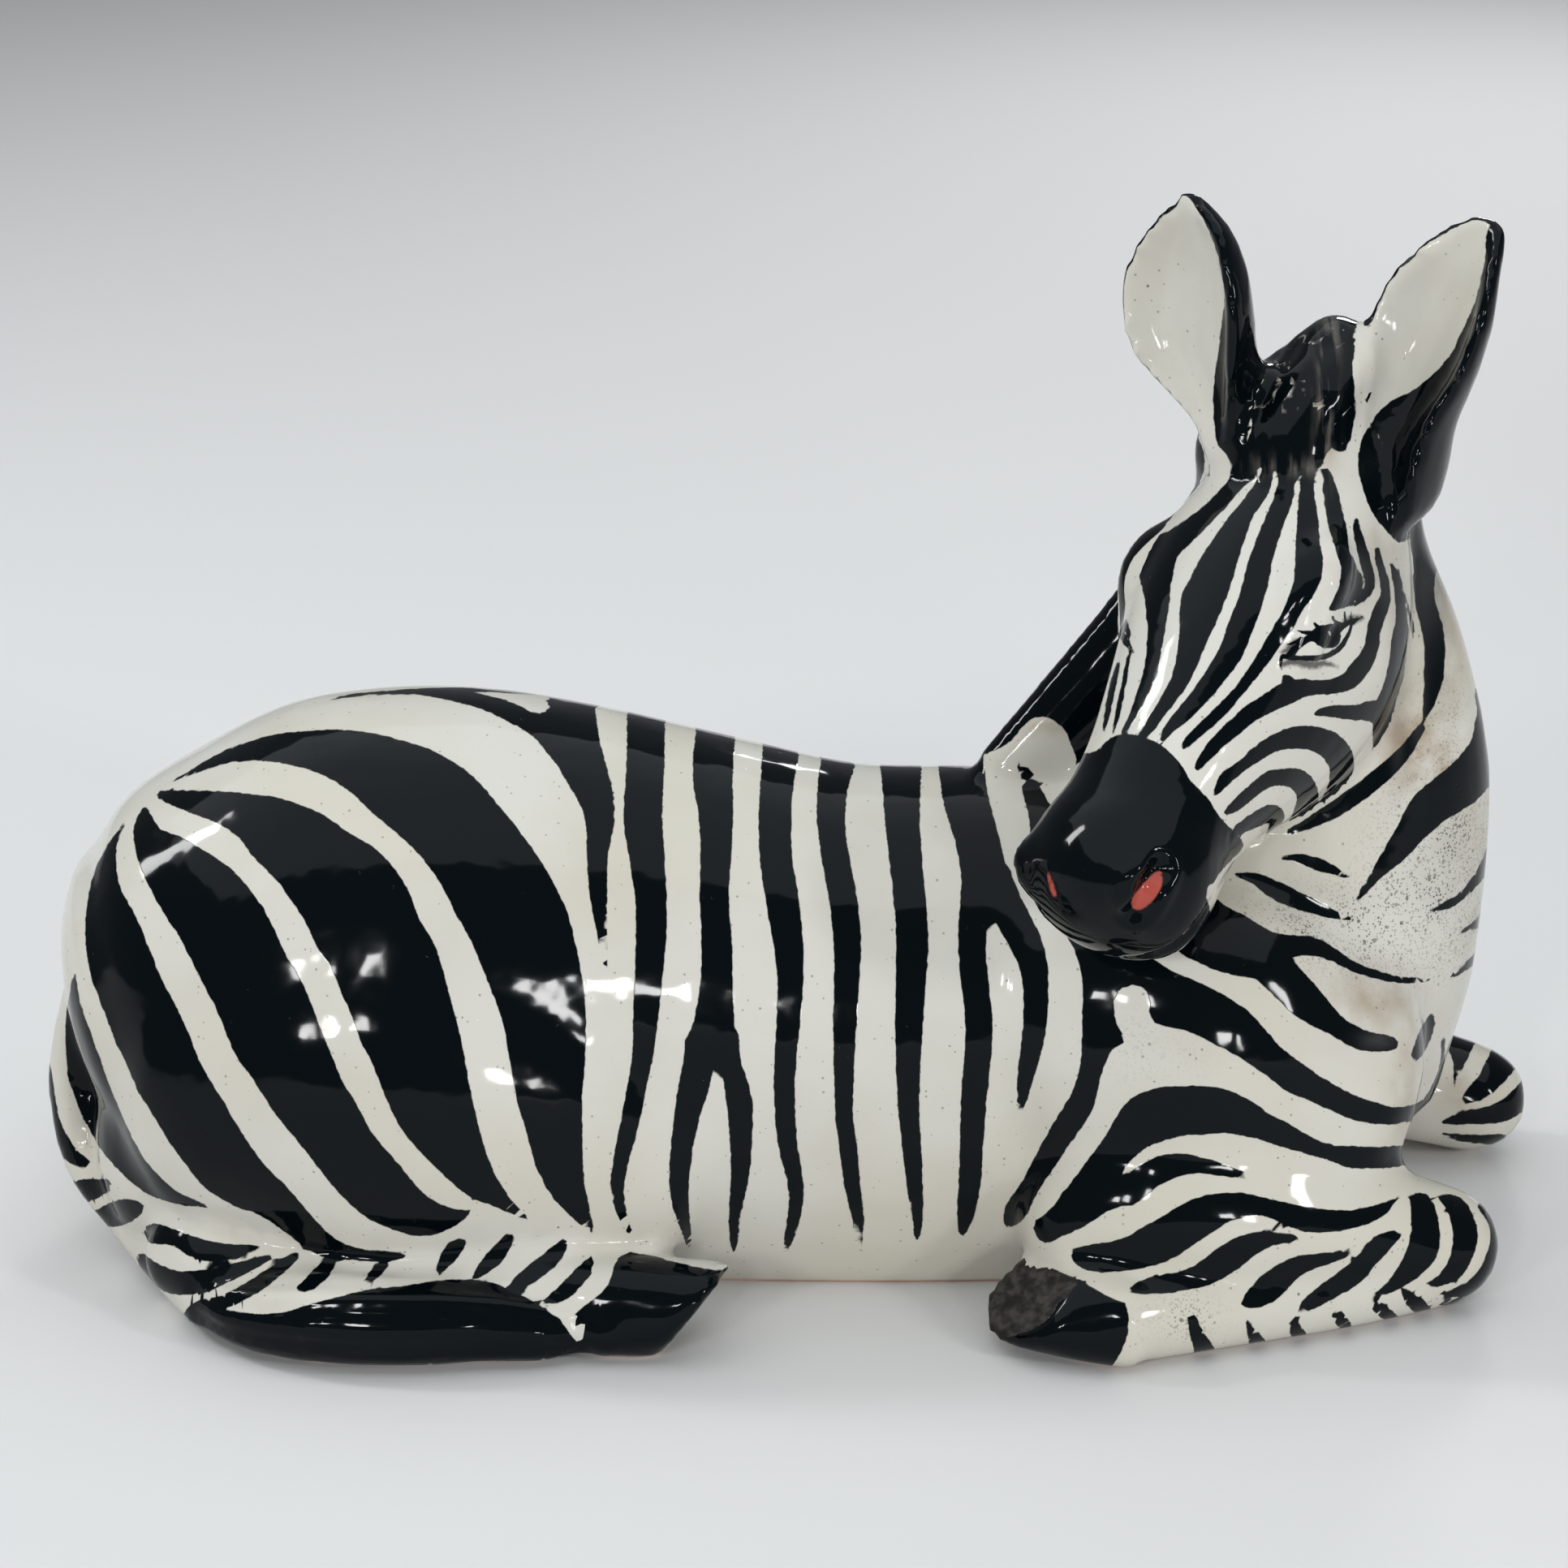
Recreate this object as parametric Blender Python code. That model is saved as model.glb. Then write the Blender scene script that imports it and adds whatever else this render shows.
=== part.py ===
"""Lying zebra in glazed earthenware, looking back over its shoulder.

It was cast in one piece, so it is one closed solid. Metres, +Z up, the chest towards +X, the side that the
head is turned to towards -Y. The origin is at the middle of the base.
"""

import math

import bmesh
import bpy
import numpy as np
from mathutils import Matrix, Vector

# The figure's own size. Every place and radius below is drawn in millimetres at DRAWN_LENGTH.
FIGURE_LENGTH = 0.447
DRAWN_LENGTH = 0.447
SCALE = FIGURE_LENGTH / DRAWN_LENGTH
MM = 0.001 * SCALE

# The clay at the rim of an ear.
EAR_WALL = 0.0042

# How finely the clay is skinned: the broad masses first, then the whole figure.
MASS_VOXEL = 3.0 * MM
MASS_ROUNDS = 16
HEAD_VOXEL = 1.8 * MM
HEAD_ROUNDS = 12
SKIN_VOXEL = 1.8 * MM
SKIN_ROUNDS = 5
TRIANGLES = 9400

# The hair's flutes and the carved lines of the face, in drawn millimetres.
FLUTE_WIDE = 3.0
CREST_FLUTE_DEEP = 0.7
LOCK_FLUTE_DEEP = 1.3
NOSTRIL_WIDE = 6.0
NOSTRIL_DEEP = 4.5
MOUTH_WIDE = 3.5
MOUTH_DEEP = 2.2
LID_WIDE = 4.0
LID_DEEP = 1.6

# Where the flutes lie, as shares of the way over a lock from one side to the other.
FORELOCK_FLUTES = (0.18, 0.38, 0.62, 0.82)
TUFT_FLUTES = (-0.35, -0.05, 0.2, 0.45)
FORELOCK_UP = (-0.55, -0.42, 0.72)
MANE_UP = (-1, 0, 0.8)

# The head's own frame: the poll, and how far the face is turned back, nods and leans.
POLL = (150.0, -3.0, 235.0)
HEAD_TURN = 143.0
HEAD_NOD = 43.0
HEAD_LEAN = 13.0

RING_SIDES = 32
STEP_COUNT = 4
DOME_ANGLES = (25, 48, 68, 82)


def clear_scene():
    for obj in list(bpy.data.objects):
        bpy.data.objects.remove(obj)


def catmull_rom(points, steps):
    """Rows of numbers read smoothly between the given rows."""
    rows = np.asarray(points, float)
    before = np.vstack([2 * rows[0] - rows[1], rows, 2 * rows[-1] - rows[-2]])
    out = []
    for i in range(len(rows) - 1):
        a, b, c, d = before[i : i + 4]
        for step in range(steps):
            t = step / steps
            out.append(
                0.5 * (2 * b + (c - a) * t + (2 * a - 5 * b + 4 * c - d) * t**2
                       + (3 * b - 3 * c + d - a) * t**3)
            )
    out.append(rows[-1])
    return np.array(out)


def new_object(name, points, faces):
    mesh = bpy.data.meshes.new(name)
    mesh.from_pydata([tuple(p) for p in points], [], faces)
    work = bmesh.new()
    work.from_mesh(mesh)
    bmesh.ops.recalc_face_normals(work, faces=work.faces)
    work.to_mesh(mesh)
    work.free()
    obj = bpy.data.objects.new(name, mesh)
    bpy.context.scene.collection.objects.link(obj)
    return obj


def skin(name, rings):
    """Closed skin over rings of equally many points, capped at each end by a fan."""
    sides = len(rings[0])
    points = [p for ring in rings for p in ring]
    faces = []
    for r in range(len(rings) - 1):
        for k in range(sides):
            a, b = r * sides + k, r * sides + (k + 1) % sides
            faces.append((a, b, b + sides, a + sides))
    for ring, first in ((rings[0], 0), (rings[-1], (len(rings) - 1) * sides)):
        points.append(np.mean(ring, axis=0))
        hub = len(points) - 1
        faces += [(first + (k + 1) % sides, first + k, hub) for k in range(sides)]
    return new_object(name, points, faces)


def cross_section(centre, way, up, size, shrink=1.0):
    """One ring of a loft. size is its half width, heights, squareness and pinch, as loft takes them."""
    wide, above, below, square, pinch = size
    side = np.cross(way, up)
    side /= np.linalg.norm(side)
    rise = np.cross(side, way)
    points = []
    for k in range(RING_SIDES):
        c, s = math.cos(math.tau * k / RING_SIDES), math.sin(math.tau * k / RING_SIDES)
        across = wide * math.copysign(abs(c) ** square, c) * (1 - pinch * max(0.0, -s))
        height = (above if s > 0 else below) * math.copysign(abs(s) ** square, s)
        points.append(centre + shrink * (across * side + height * rise))
    return np.array(points)


def loft(name, stations, up=(0, 0, 1), dome=(1.0, 1.0), place=None):
    """A limb or mass along a path, in drawn millimetres.

    A station is (x, y, z, half width, half height above, half height below, squareness, pinch of the lower
    half). Where the last three are missing they are the height above, 1 and 0. dome rounds the two ends.
    """
    full = []
    for station in stations:
        station = tuple(station)
        if len(station) == 5:
            station += (station[4],)
        full.append(station + (1.0, 0.0)[len(station) - 6 :])
    rows = catmull_rom(full, STEP_COUNT)
    centres, sizes = rows[:, :3], rows[:, 3:]
    ways = np.gradient(centres, axis=0)
    ways /= np.linalg.norm(ways, axis=1)[:, None]
    rings = [cross_section(c, w, up, size) for c, w, size in zip(centres, ways, sizes)]
    for end, sign in ((0, -1), (-1, 1)):
        reach = dome[end] * min(sizes[end][0], 0.5 * (sizes[end][1] + sizes[end][2]))
        cap = []
        for angle in DOME_ANGLES if reach > 0 else ():
            a = math.radians(angle)
            centre = centres[end] + sign * ways[end] * reach * math.sin(a)
            cap.append(cross_section(centre, ways[end], up, sizes[end], math.cos(a)))
        rings = cap[::-1] + rings if end == 0 else rings + cap
    rings = [ring * MM for ring in rings]
    if place is not None:
        rings = [np.array([place @ Vector(p) for p in ring]) for ring in rings]
    return skin(name, rings)


def egg(name, centre, radii, place=None):
    """A ball stretched to three radii, in drawn millimetres."""
    work = bmesh.new()
    bmesh.ops.create_icosphere(work, subdivisions=4, radius=1.0)
    where = Matrix.Translation(Vector(centre) * MM) @ Matrix.Diagonal((*(r * MM for r in radii), 1.0))
    if place is not None:
        where = place @ where
    bmesh.ops.transform(work, matrix=where, verts=work.verts)
    mesh = bpy.data.meshes.new(name)
    work.to_mesh(mesh)
    work.free()
    obj = bpy.data.objects.new(name, mesh)
    bpy.context.scene.collection.objects.link(obj)
    return obj


def head_frame():
    """Places the head's own millimetres: +Y from the poll to the muzzle, +Z out of the forehead."""
    return (
        Matrix.Translation(Vector(POLL) * MM)
        @ Matrix.Rotation(math.radians(HEAD_TURN), 4, "Z")
        @ Matrix.Rotation(math.radians(-HEAD_NOD), 4, "X")
        @ Matrix.Rotation(math.radians(HEAD_LEAN), 4, "Y")
    )


def settled(obj):
    """The object with its modifiers worked in."""
    bpy.context.view_layer.update()
    graph = bpy.context.evaluated_depsgraph_get()
    mesh = bpy.data.meshes.new_from_object(obj.evaluated_get(graph))
    obj.modifiers.clear()
    obj.data = mesh
    return obj


def cast(name, parts, voxel, rounds):
    """Joins closed forms into one skin and softens the joins, as clay and glaze do."""
    work = bmesh.new()
    for part in parts:
        work.from_mesh(part.data)
        bpy.data.objects.remove(part)
    mesh = bpy.data.meshes.new(name)
    work.to_mesh(mesh)
    work.free()
    obj = bpy.data.objects.new(name, mesh)
    bpy.context.scene.collection.objects.link(obj)
    remesh = obj.modifiers.new("skin", "REMESH")
    remesh.mode = "VOXEL"
    remesh.voxel_size = voxel
    remesh.adaptivity = 0.0
    smooth = obj.modifiers.new("soften", "SMOOTH")
    smooth.factor = 0.5
    smooth.iterations = rounds
    return settled(obj)


def torso():
    return loft(
        "torso",
        [
            (-186, 0, 73, 55, 51, 66),
            (-170, 0, 77, 66, 67, 80),
            (-140, 0, 80, 75, 81, 92),
            (-105, 0, 83, 78, 84, 98),
            (-70, 0, 80, 73, 83, 96),
            (-30, 0, 75, 67, 79, 93),
            (15, 0, 70, 63, 74, 92),
            (60, 0, 69, 61, 74, 92),
            (105, 0, 68, 60, 72, 88),
            (145, 0, 64, 54, 62, 80),
            (172, 0, 60, 40, 44, 66),
        ],
        dome=(0.4, 0.4),
    )


def buttock(side):
    return egg("buttock", (-172, side * 22, 38), (30, 34, 38))


def haunch(side):
    return loft(
        "haunch",
        [
            (-160, side * 36, 64, 39, 50),
            (-120, side * 44, 66, 42, 62),
            (-80, side * 46, 58, 38, 56),
            (-42, side * 46, 42, 28, 40),
        ],
        dome=(0.8, 0.9),
    )


def shoulder(side):
    return loft(
        "shoulder",
        [
            (62, side * 26, 74, 27, 42),
            (88, side * 36, 76, 34, 52),
            (118, side * 42, 70, 37, 57),
            (150, side * 36, 56, 34, 50),
        ],
        dome=(1.0, 0.9),
    )


def forearm(side):
    """From the elbow, tucked under the shoulder, forward to the knee."""
    if side < 0:
        rows = [
            (84, -58, 30, 22, 24),
            (106, -60, 34, 26, 30),
            (135, -60, 32, 25, 28),
            (165, -55, 24, 20, 21),
            (190, -50, 17, 17.5, 18),
        ]
    else:
        rows = [
            (110, 46, 36, 24, 32),
            (150, 50, 34, 24, 28),
            (185, 50, 25, 19, 20),
            (214, 48, 18, 17, 17),
        ]
    return loft("forearm", rows, dome=(0.8, 1.0))


def neck():
    return loft(
        "neck",
        [
            (120, 2, 94, 52, 64, 91),
            (140, 4, 122, 46, 58, 75),
            (155, 6, 150, 38, 50, 54),
            (160, 6, 180, 31, 42, 37),
            (157, 5, 208, 27, 32, 27),
            (155, 3, 232, 23, 26, 24),
        ],
        up=(-1, 0, 0.35),
        dome=(0.5, 0.6),
    )


CREST = (
    (64, 3, 142, 8, 10),
    (83, 5, 159, 9.5, 14),
    (100, 6, 179, 10, 15),
    (117, 8, 202, 10.5, 15),
    (131, 9, 223, 11, 15),
    (133, 8, 243, 13, 16),
    (144, 6, 256, 14, 13),
    (156, 2, 267, 14, 13.5),
)
FORELOCK = (
    (153, 0, 266, 15, 10),
    (146.5, -9, 262, 14.5, 9),
    (140, -16, 255, 13, 7.5),
    (135.5, -22, 246.5, 11, 5.5),
    (134, -26, 238, 7, 3),
)


def mane():
    return [
        loft("mane", CREST, up=MANE_UP, dome=(0.8, 0.8)),
        loft("forelock", FORELOCK, up=FORELOCK_UP, dome=(0.8, 0.8)),
        egg("topknot", (145, -6, 254), (17, 18, 15)),
    ]


def head():
    frame = head_frame()
    skull = loft(
        "skull",
        [
            (0, -10, 0, 22, 16, 22),
            (0, 8, 0, 28, 22, 36, 0.9),
            (0, 28, 0, 33, 26, 50, 0.85),
            (0, 48, 0, 34, 27, 58, 0.85, 0.1),
            (0, 66, 0, 31, 26, 56, 0.85, 0.15),
            (0, 84, 0, 27, 24, 47, 0.85, 0.2),
            (0, 100, 0, 24.5, 22, 36, 0.85, 0.2),
            (0, 114, 0, 24, 22, 28, 0.85, 0.15),
            (0, 127, 0, 27, 25, 26, 0.9, 0.1),
            (0, 138, 0, 26, 24, 25, 0.9, 0.05),
        ],
        dome=(0.6, 0.65),
        place=frame,
    )
    parts = [skull]
    for side in (-1, 1):
        parts.append(egg("brow", (side * 28, 43, 12), (11, 17, 10), frame))
        parts.append(egg("eye", (side * 28.5, 58, 7), (8, 10, 8), frame))
        parts.append(egg("nostril_rim", (side * 16.5, 138, 11), (9, 11, 10), frame))
    return cast("head", parts, HEAD_VOXEL, HEAD_ROUNDS)


def ear(side):
    """A deep leaf that opens towards the way the head looks.

    A row is a place on the chord between the rims, half that chord, the depth of the back behind it and the
    depth of the hollow in front.
    """
    if side > 0:
        facing = (-0.743, -0.669, 0.1)
        rows = [
            (163, -24, 226, 7, 8, 0),
            (163, -24, 236, 12, 24, 2),
            (164, -23, 248, 13, 29, 6),
            (166, -21, 260, 15, 27, 12),
            (171, -18, 274, 19, 23, 13),
            (176, -16, 288, 19.5, 19, 11),
            (182, -15, 300, 15, 14, 7),
            (189, -13, 308, 7, 7, 2),
            (192.5, -13, 312, 3.5, 4, 0),
        ]
    else:
        facing = (-0.79, -0.61, 0.1)
        rows = [
            (122, -16, 238, 7, 9, 0),
            (119, -15, 247, 9, 17, 0),
            (116, -13, 255, 11, 21, 6),
            (108.5, -10, 268, 20.5, 25, 12),
            (106, -8, 281, 24, 24, 13),
            (105.5, -6, 292, 23, 22, 11),
            (106.5, -5, 303, 18, 16, 7),
            (108.5, -4, 312, 8, 8, 1),
            (109.5, -4, 316, 3, 3, 0),
        ]
    rows = catmull_rom(rows, STEP_COUNT)
    way = rows[-1, :3] - rows[0, :3]
    way /= np.linalg.norm(way)
    facing = np.array(facing)
    facing -= way * np.dot(facing, way)
    facing /= np.linalg.norm(facing)
    across = np.cross(way, facing)
    rings = []
    half = RING_SIDES // 2
    for row in rows:
        centre, (wide, deep, hollow) = row[:3], row[3:]
        inner = max(wide - EAR_WALL / MM, 0.4 * wide)
        ring = []
        for k in range(half):
            a = math.pi * k / half
            ring.append(centre + across * wide * math.cos(a) - facing * deep * math.sin(a))
        for k in range(half):
            a = math.pi * (1 - k / half)
            ring.append(centre + across * inner * math.cos(a) - facing * hollow * math.sin(a))
        rings.append(np.array(ring) * MM)
    return skin("ear", rings)


def hoof(name, collar, edge):
    """A hoof from its coronet to its sole, each given as (centre, way it faces, half width, half height)."""
    rings = []
    for share in (-0.12, 0.0, 0.25, 0.5, 0.75, 0.95, 1.0):
        centre, way, size = (
            np.asarray(a, float) * (1 - share) + np.asarray(b, float) * share for a, b in zip(collar, edge)
        )
        shrink = 0.93 if share in (-0.12, 1.0) else 1.0
        way = way / np.linalg.norm(way)
        rings.append(cross_section(centre, way, (0, 0.2, 1), (*size, size[1], 0.9, 0.0), shrink) * MM)
    return skin(name, rings)


def lower_foreleg(side):
    """The cannon, folded back under the forearm, and its hoof with the sole turned up."""
    if side < 0:
        rows = [
            (190, -52, 13, 13, 13),
            (160, -66, 12, 11.5, 12),
            (125, -78, 12, 11, 12),
            (102, -85, 12.5, 12, 12.5),
            (94, -87, 13, 12.5, 13),
        ]
        collar = ((95, -87, 12.5), (-1, -0.15, 0.1), (13, 13.5))
        edge = ((68, -80, 15.5), (-0.66, -0.3, 0.7), (17, 14.5))
    else:
        rows = [
            (212, 50, 13, 13, 13),
            (180, 64, 12, 11.5, 12),
            (140, 76, 12, 11, 12),
            (112, 82, 13, 12.5, 13),
        ]
        collar = ((113, 82, 12.5), (-1, 0.15, 0.1), (13, 13.5))
        edge = ((88, 80, 15.5), (-0.66, 0.3, 0.7), (17, 14.5))
    return [loft("cannon", rows, dome=(0.8, 0.3)), hoof("hoof", collar, edge)]


def hind_leg(side):
    rows = [
        (-170, side * 56, 17, 14, 14),
        (-160, side * 62, 17, 15, 15),
        (-135, side * 69, 15, 13, 14),
        (-105, side * 73, 15, 12.5, 13),
        (-75, side * 76, 15, 12, 13),
        (-54, side * 78, 14, 12, 13),
    ]
    collar = ((-54, side * 78, 13), (1, side * 0.1, 0), (12.5, 14))
    edge = ((-25, side * 81, 12.5), (1, side * 0.3, -0.75), (15, 17))
    bulb = egg("heel_bulb", (-50, side * 86, 9), (9, 8, 8))
    return [loft("hind_cannon", rows, dome=(1.0, 0.3)), hoof("hind_hoof", collar, edge), bulb]


TUFT = (
    (-164, -72, 11, 7, 8),
    (-150, -82, 12, 10, 11),
    (-130, -87, 13, 12, 13),
    (-106, -89, 13, 11.5, 13),
    (-84, -88, 12, 9.5, 12),
    (-68, -87, 10, 9, 10),
    (-58, -86, 8, 6, 7),
)


def tail():
    dock = [
        (-180, 2, 126, 8, 8),
        (-194, 1, 106, 9, 9),
        (-203, -2, 80, 8, 8),
        (-210, -6, 52, 7.5, 7.5),
        (-206, -14, 28, 7.5, 7.5),
        (-192, -26, 15, 8, 8),
        (-176, -48, 10, 9, 9),
        (-162, -72, 10, 9, 9),
    ]
    return [loft("dock", dock, up=(-1, 0, 0.2), dome=(0.8, 0.8)), loft("tuft", TUFT, dome=(0.9, 0.9))]


def groove(obj, path, wide, depth, place=None):
    """Presses a soft groove into the skin along a path, in drawn millimetres."""
    path = catmull_rom(path, STEP_COUNT) * MM
    if place is not None:
        path = np.array([place @ Vector(p) for p in path])
    mesh = obj.data
    count = len(mesh.vertices)
    places, normals = np.empty(count * 3), np.empty(count * 3)
    mesh.vertices.foreach_get("co", places)
    mesh.vertex_normals.foreach_get("vector", normals)
    places, normals = places.reshape(-1, 3), normals.reshape(-1, 3)
    reach = wide * MM
    low, high = path.min(axis=0) - reach, path.max(axis=0) + reach
    near = np.flatnonzero(((places > low) & (places < high)).all(axis=1))
    here = places[near]
    away = np.full(len(near), np.inf)
    for a, b in zip(path[:-1], path[1:]):
        run = b - a
        share = np.clip((here - a) @ run / max(run @ run, 1e-12), 0, 1)
        away = np.minimum(away, np.linalg.norm(here - a - share[:, None] * run, axis=1))
    press = np.clip(1 - (away / reach) ** 2, 0, 1) ** 2 * depth * MM
    places[near] -= normals[near] * press[:, None]
    mesh.vertices.foreach_set("co", places.ravel())
    mesh.update()


def carve_head(obj):
    frame = head_frame()
    for side in (-1, 1):
        nostril = [(side * 25, 134.5, 13), (side * 24, 141, 13), (side * 18.5, 146, 8)]
        corner = [(side * 25, 112, -9), (side * 27, 122, -11)]
        lips = [(side * 25, 136, -12), (side * 16, 149, -12), (0, 155, -12)]
        upper_lid = [(side * 36, 48, 14), (side * 38, 56, 12), (side * 36, 64, 8)]
        lower_lid = [(side * 36, 52, 2), (side * 36, 60, 1), (side * 34, 68, 3)]
        groove(obj, nostril, NOSTRIL_WIDE, NOSTRIL_DEEP, frame)
        groove(obj, corner + lips, MOUTH_WIDE, MOUTH_DEEP, frame)
        groove(obj, upper_lid, LID_WIDE, LID_DEEP, frame)
        groove(obj, lower_lid, LID_WIDE, LID_DEEP, frame)


def locks(stations, up, shares):
    """Lines along a lofted lock of hair, each at its share of the way over from one side to the other."""
    rows = catmull_rom(stations, STEP_COUNT)
    ways = np.gradient(rows[:, :3], axis=0)
    lines = [[] for _ in shares]
    for row, way in zip(rows, ways):
        size = (row[3], row[4], row[4], 1.0, 0.0)
        ring = cross_section(row[:3], way / np.linalg.norm(way), up, size)
        for line, share in zip(lines, shares):
            line.append(ring[round(share * RING_SIDES / 2) % RING_SIDES])
    return lines


def carve_hair(obj):
    """Flutes across the mane, down the forelock and along the tuft."""
    for line in locks(FORELOCK, FORELOCK_UP, FORELOCK_FLUTES):
        groove(obj, line, FLUTE_WIDE, LOCK_FLUTE_DEEP)
    for line in locks(TUFT, (0, 0, 1), TUFT_FLUTES):
        groove(obj, line, FLUTE_WIDE, LOCK_FLUTE_DEEP)
    crest = catmull_rom(CREST, STEP_COUNT)
    for k in range(2, len(crest) - 1):
        centre, wide, tall = crest[k, :3], crest[k, 3], crest[k, 4]
        way = crest[k + 1, :3] - crest[k - 1, :3]
        size = (wide, tall, tall, 1.0, 0.0)
        ring = cross_section(centre, way / np.linalg.norm(way), MANE_UP, size)
        over = ring[: RING_SIDES // 2 + 1]
        groove(obj, over[::4], FLUTE_WIDE, CREST_FLUTE_DEEP)


def zebra():
    masses = [torso(), neck()]
    for side in (-1, 1):
        masses += [haunch(side), buttock(side), shoulder(side), forearm(side)]
    body = cast("body", masses, MASS_VOXEL, MASS_ROUNDS)
    parts = [body, *mane(), head(), ear(-1), ear(1)]
    for side in (-1, 1):
        parts += lower_foreleg(side) + hind_leg(side)
    parts += tail()
    figure = cast("zebra", parts, SKIN_VOXEL, SKIN_ROUNDS)
    carve_head(figure)
    carve_hair(figure)
    return figure


def thin(obj, triangles):
    """Fewer, larger triangles where the surface is plain."""
    count = sum(len(face.vertices) - 2 for face in obj.data.polygons)
    fewer = obj.modifiers.new("thin", "DECIMATE")
    fewer.ratio = triangles / count
    return settled(obj)


def flatten_base(obj):
    """Cuts the figure off at the ground, and closes the cut with flat clay."""
    work = bmesh.new()
    work.from_mesh(obj.data)
    everything = work.verts[:] + work.edges[:] + work.faces[:]
    bmesh.ops.bisect_plane(
        work, geom=everything, dist=0.02 * MM, plane_co=(0, 0, 0), plane_no=(0, 0, -1), clear_outer=True
    )
    rim = [e for e in work.edges if e.is_boundary]
    bmesh.ops.holes_fill(work, edges=rim, sides=0)
    for vert in {v for e in rim for v in e.verts}:
        vert.co.z = 0.0
    bmesh.ops.triangulate(work, faces=work.faces[:])
    bmesh.ops.recalc_face_normals(work, faces=work.faces[:])
    work.to_mesh(obj.data)
    work.free()


def centre_base(obj):
    """Moves the figure so that the middle of its box is over the origin."""
    places = np.array([v.co for v in obj.data.vertices])
    low, high = places.min(axis=0), places.max(axis=0)
    obj.data.transform(Matrix.Translation((-(low[0] + high[0]) / 2, -(low[1] + high[1]) / 2, -low[2])))
    obj.data.update()


def glaze():
    material = bpy.data.materials.new("glazed_earthenware")
    material.use_nodes = True
    shader = material.node_tree.nodes["Principled BSDF"]
    shader.inputs["Base Color"].default_value = (0.62, 0.6, 0.55, 1)
    shader.inputs["Roughness"].default_value = 0.12
    shader.inputs["Metallic"].default_value = 0.0
    return material


def main():
    clear_scene()
    figure = zebra()
    thin(figure, TRIANGLES)
    flatten_base(figure)
    centre_base(figure)
    figure.data.materials.clear()
    figure.data.materials.append(glaze())
    figure.data.shade_smooth()
    figure.data.set_sharp_from_angle(angle=math.radians(60))


main()
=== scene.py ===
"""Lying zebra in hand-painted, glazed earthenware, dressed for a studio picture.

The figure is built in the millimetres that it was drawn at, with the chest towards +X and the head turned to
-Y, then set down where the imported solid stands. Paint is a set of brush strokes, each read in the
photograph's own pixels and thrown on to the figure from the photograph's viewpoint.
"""

import logging
import math
from dataclasses import dataclass, field
from enum import Enum
from typing import Iterable, Optional, Sequence

import bmesh
import bpy
import numpy as np
from mathutils import Matrix, Vector
from mathutils.bvhtree import BVHTree

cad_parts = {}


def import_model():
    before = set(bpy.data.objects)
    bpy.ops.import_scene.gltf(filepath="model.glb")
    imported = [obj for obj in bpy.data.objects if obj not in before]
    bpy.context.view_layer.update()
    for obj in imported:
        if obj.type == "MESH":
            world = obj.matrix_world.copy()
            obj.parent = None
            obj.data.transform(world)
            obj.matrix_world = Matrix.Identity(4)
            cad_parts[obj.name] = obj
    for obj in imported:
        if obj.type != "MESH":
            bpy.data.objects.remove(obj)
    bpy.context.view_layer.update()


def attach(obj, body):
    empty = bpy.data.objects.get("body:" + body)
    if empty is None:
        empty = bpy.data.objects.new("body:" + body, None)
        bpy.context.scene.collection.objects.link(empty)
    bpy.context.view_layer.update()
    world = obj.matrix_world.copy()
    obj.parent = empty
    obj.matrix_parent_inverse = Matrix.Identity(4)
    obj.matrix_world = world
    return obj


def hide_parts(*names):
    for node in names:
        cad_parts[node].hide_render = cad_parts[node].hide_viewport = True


log = logging.getLogger("zebra")

MM = 0.001
NODE = "zebra"
SLOT = "glazed_earthenware"
REACH = 24.0  # How far paint is measured, in pixels.
TINY = 1e-9
HALF = 0.5  # How strongly each round of softening works.

Row = tuple[float, ...]
Rows = tuple[Row, ...]
Place = Optional[Matrix]
Form = bpy.types.Object


# Working with forms


def smooth_rows(rows: Sequence[Row], steps: int = 4, closed: bool = False) -> np.ndarray:
    """Reads rows of numbers smoothly between the given rows.

    Args:
        rows: The rows to pass through.
        steps: How many parts each stretch is cut into.
        closed: Whether the last row leads back to the first.

    Returns:
        One row for each point along the way.
    """
    known = np.asarray(rows, float)
    if closed:
        known = np.vstack([known[-1:], known, known[:2]])
    else:
        known = np.vstack([2 * known[0] - known[1], known, 2 * known[-1] - known[-2]])
    out = []
    for a, b, c, d in zip(known[:-3], known[1:-2], known[2:-1], known[3:]):
        for t in np.arange(steps) / steps:
            curve = 2 * b + (c - a) * t
            curve = curve + (2 * a - 5 * b + 4 * c - d) * t**2 + (3 * b - 3 * c + d - a) * t**3
            out.append(0.5 * curve)
    if not closed:
        out.append(known[-2])
    return np.array(out)


def linked(name: str, mesh: bpy.types.Mesh) -> Form:
    """Puts a mesh in the scene.

    Args:
        name: The new object's name.
        mesh: Its mesh.

    Returns:
        The object.
    """
    obj = bpy.data.objects.new(name, mesh)
    bpy.context.scene.collection.objects.link(obj)
    return obj


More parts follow.
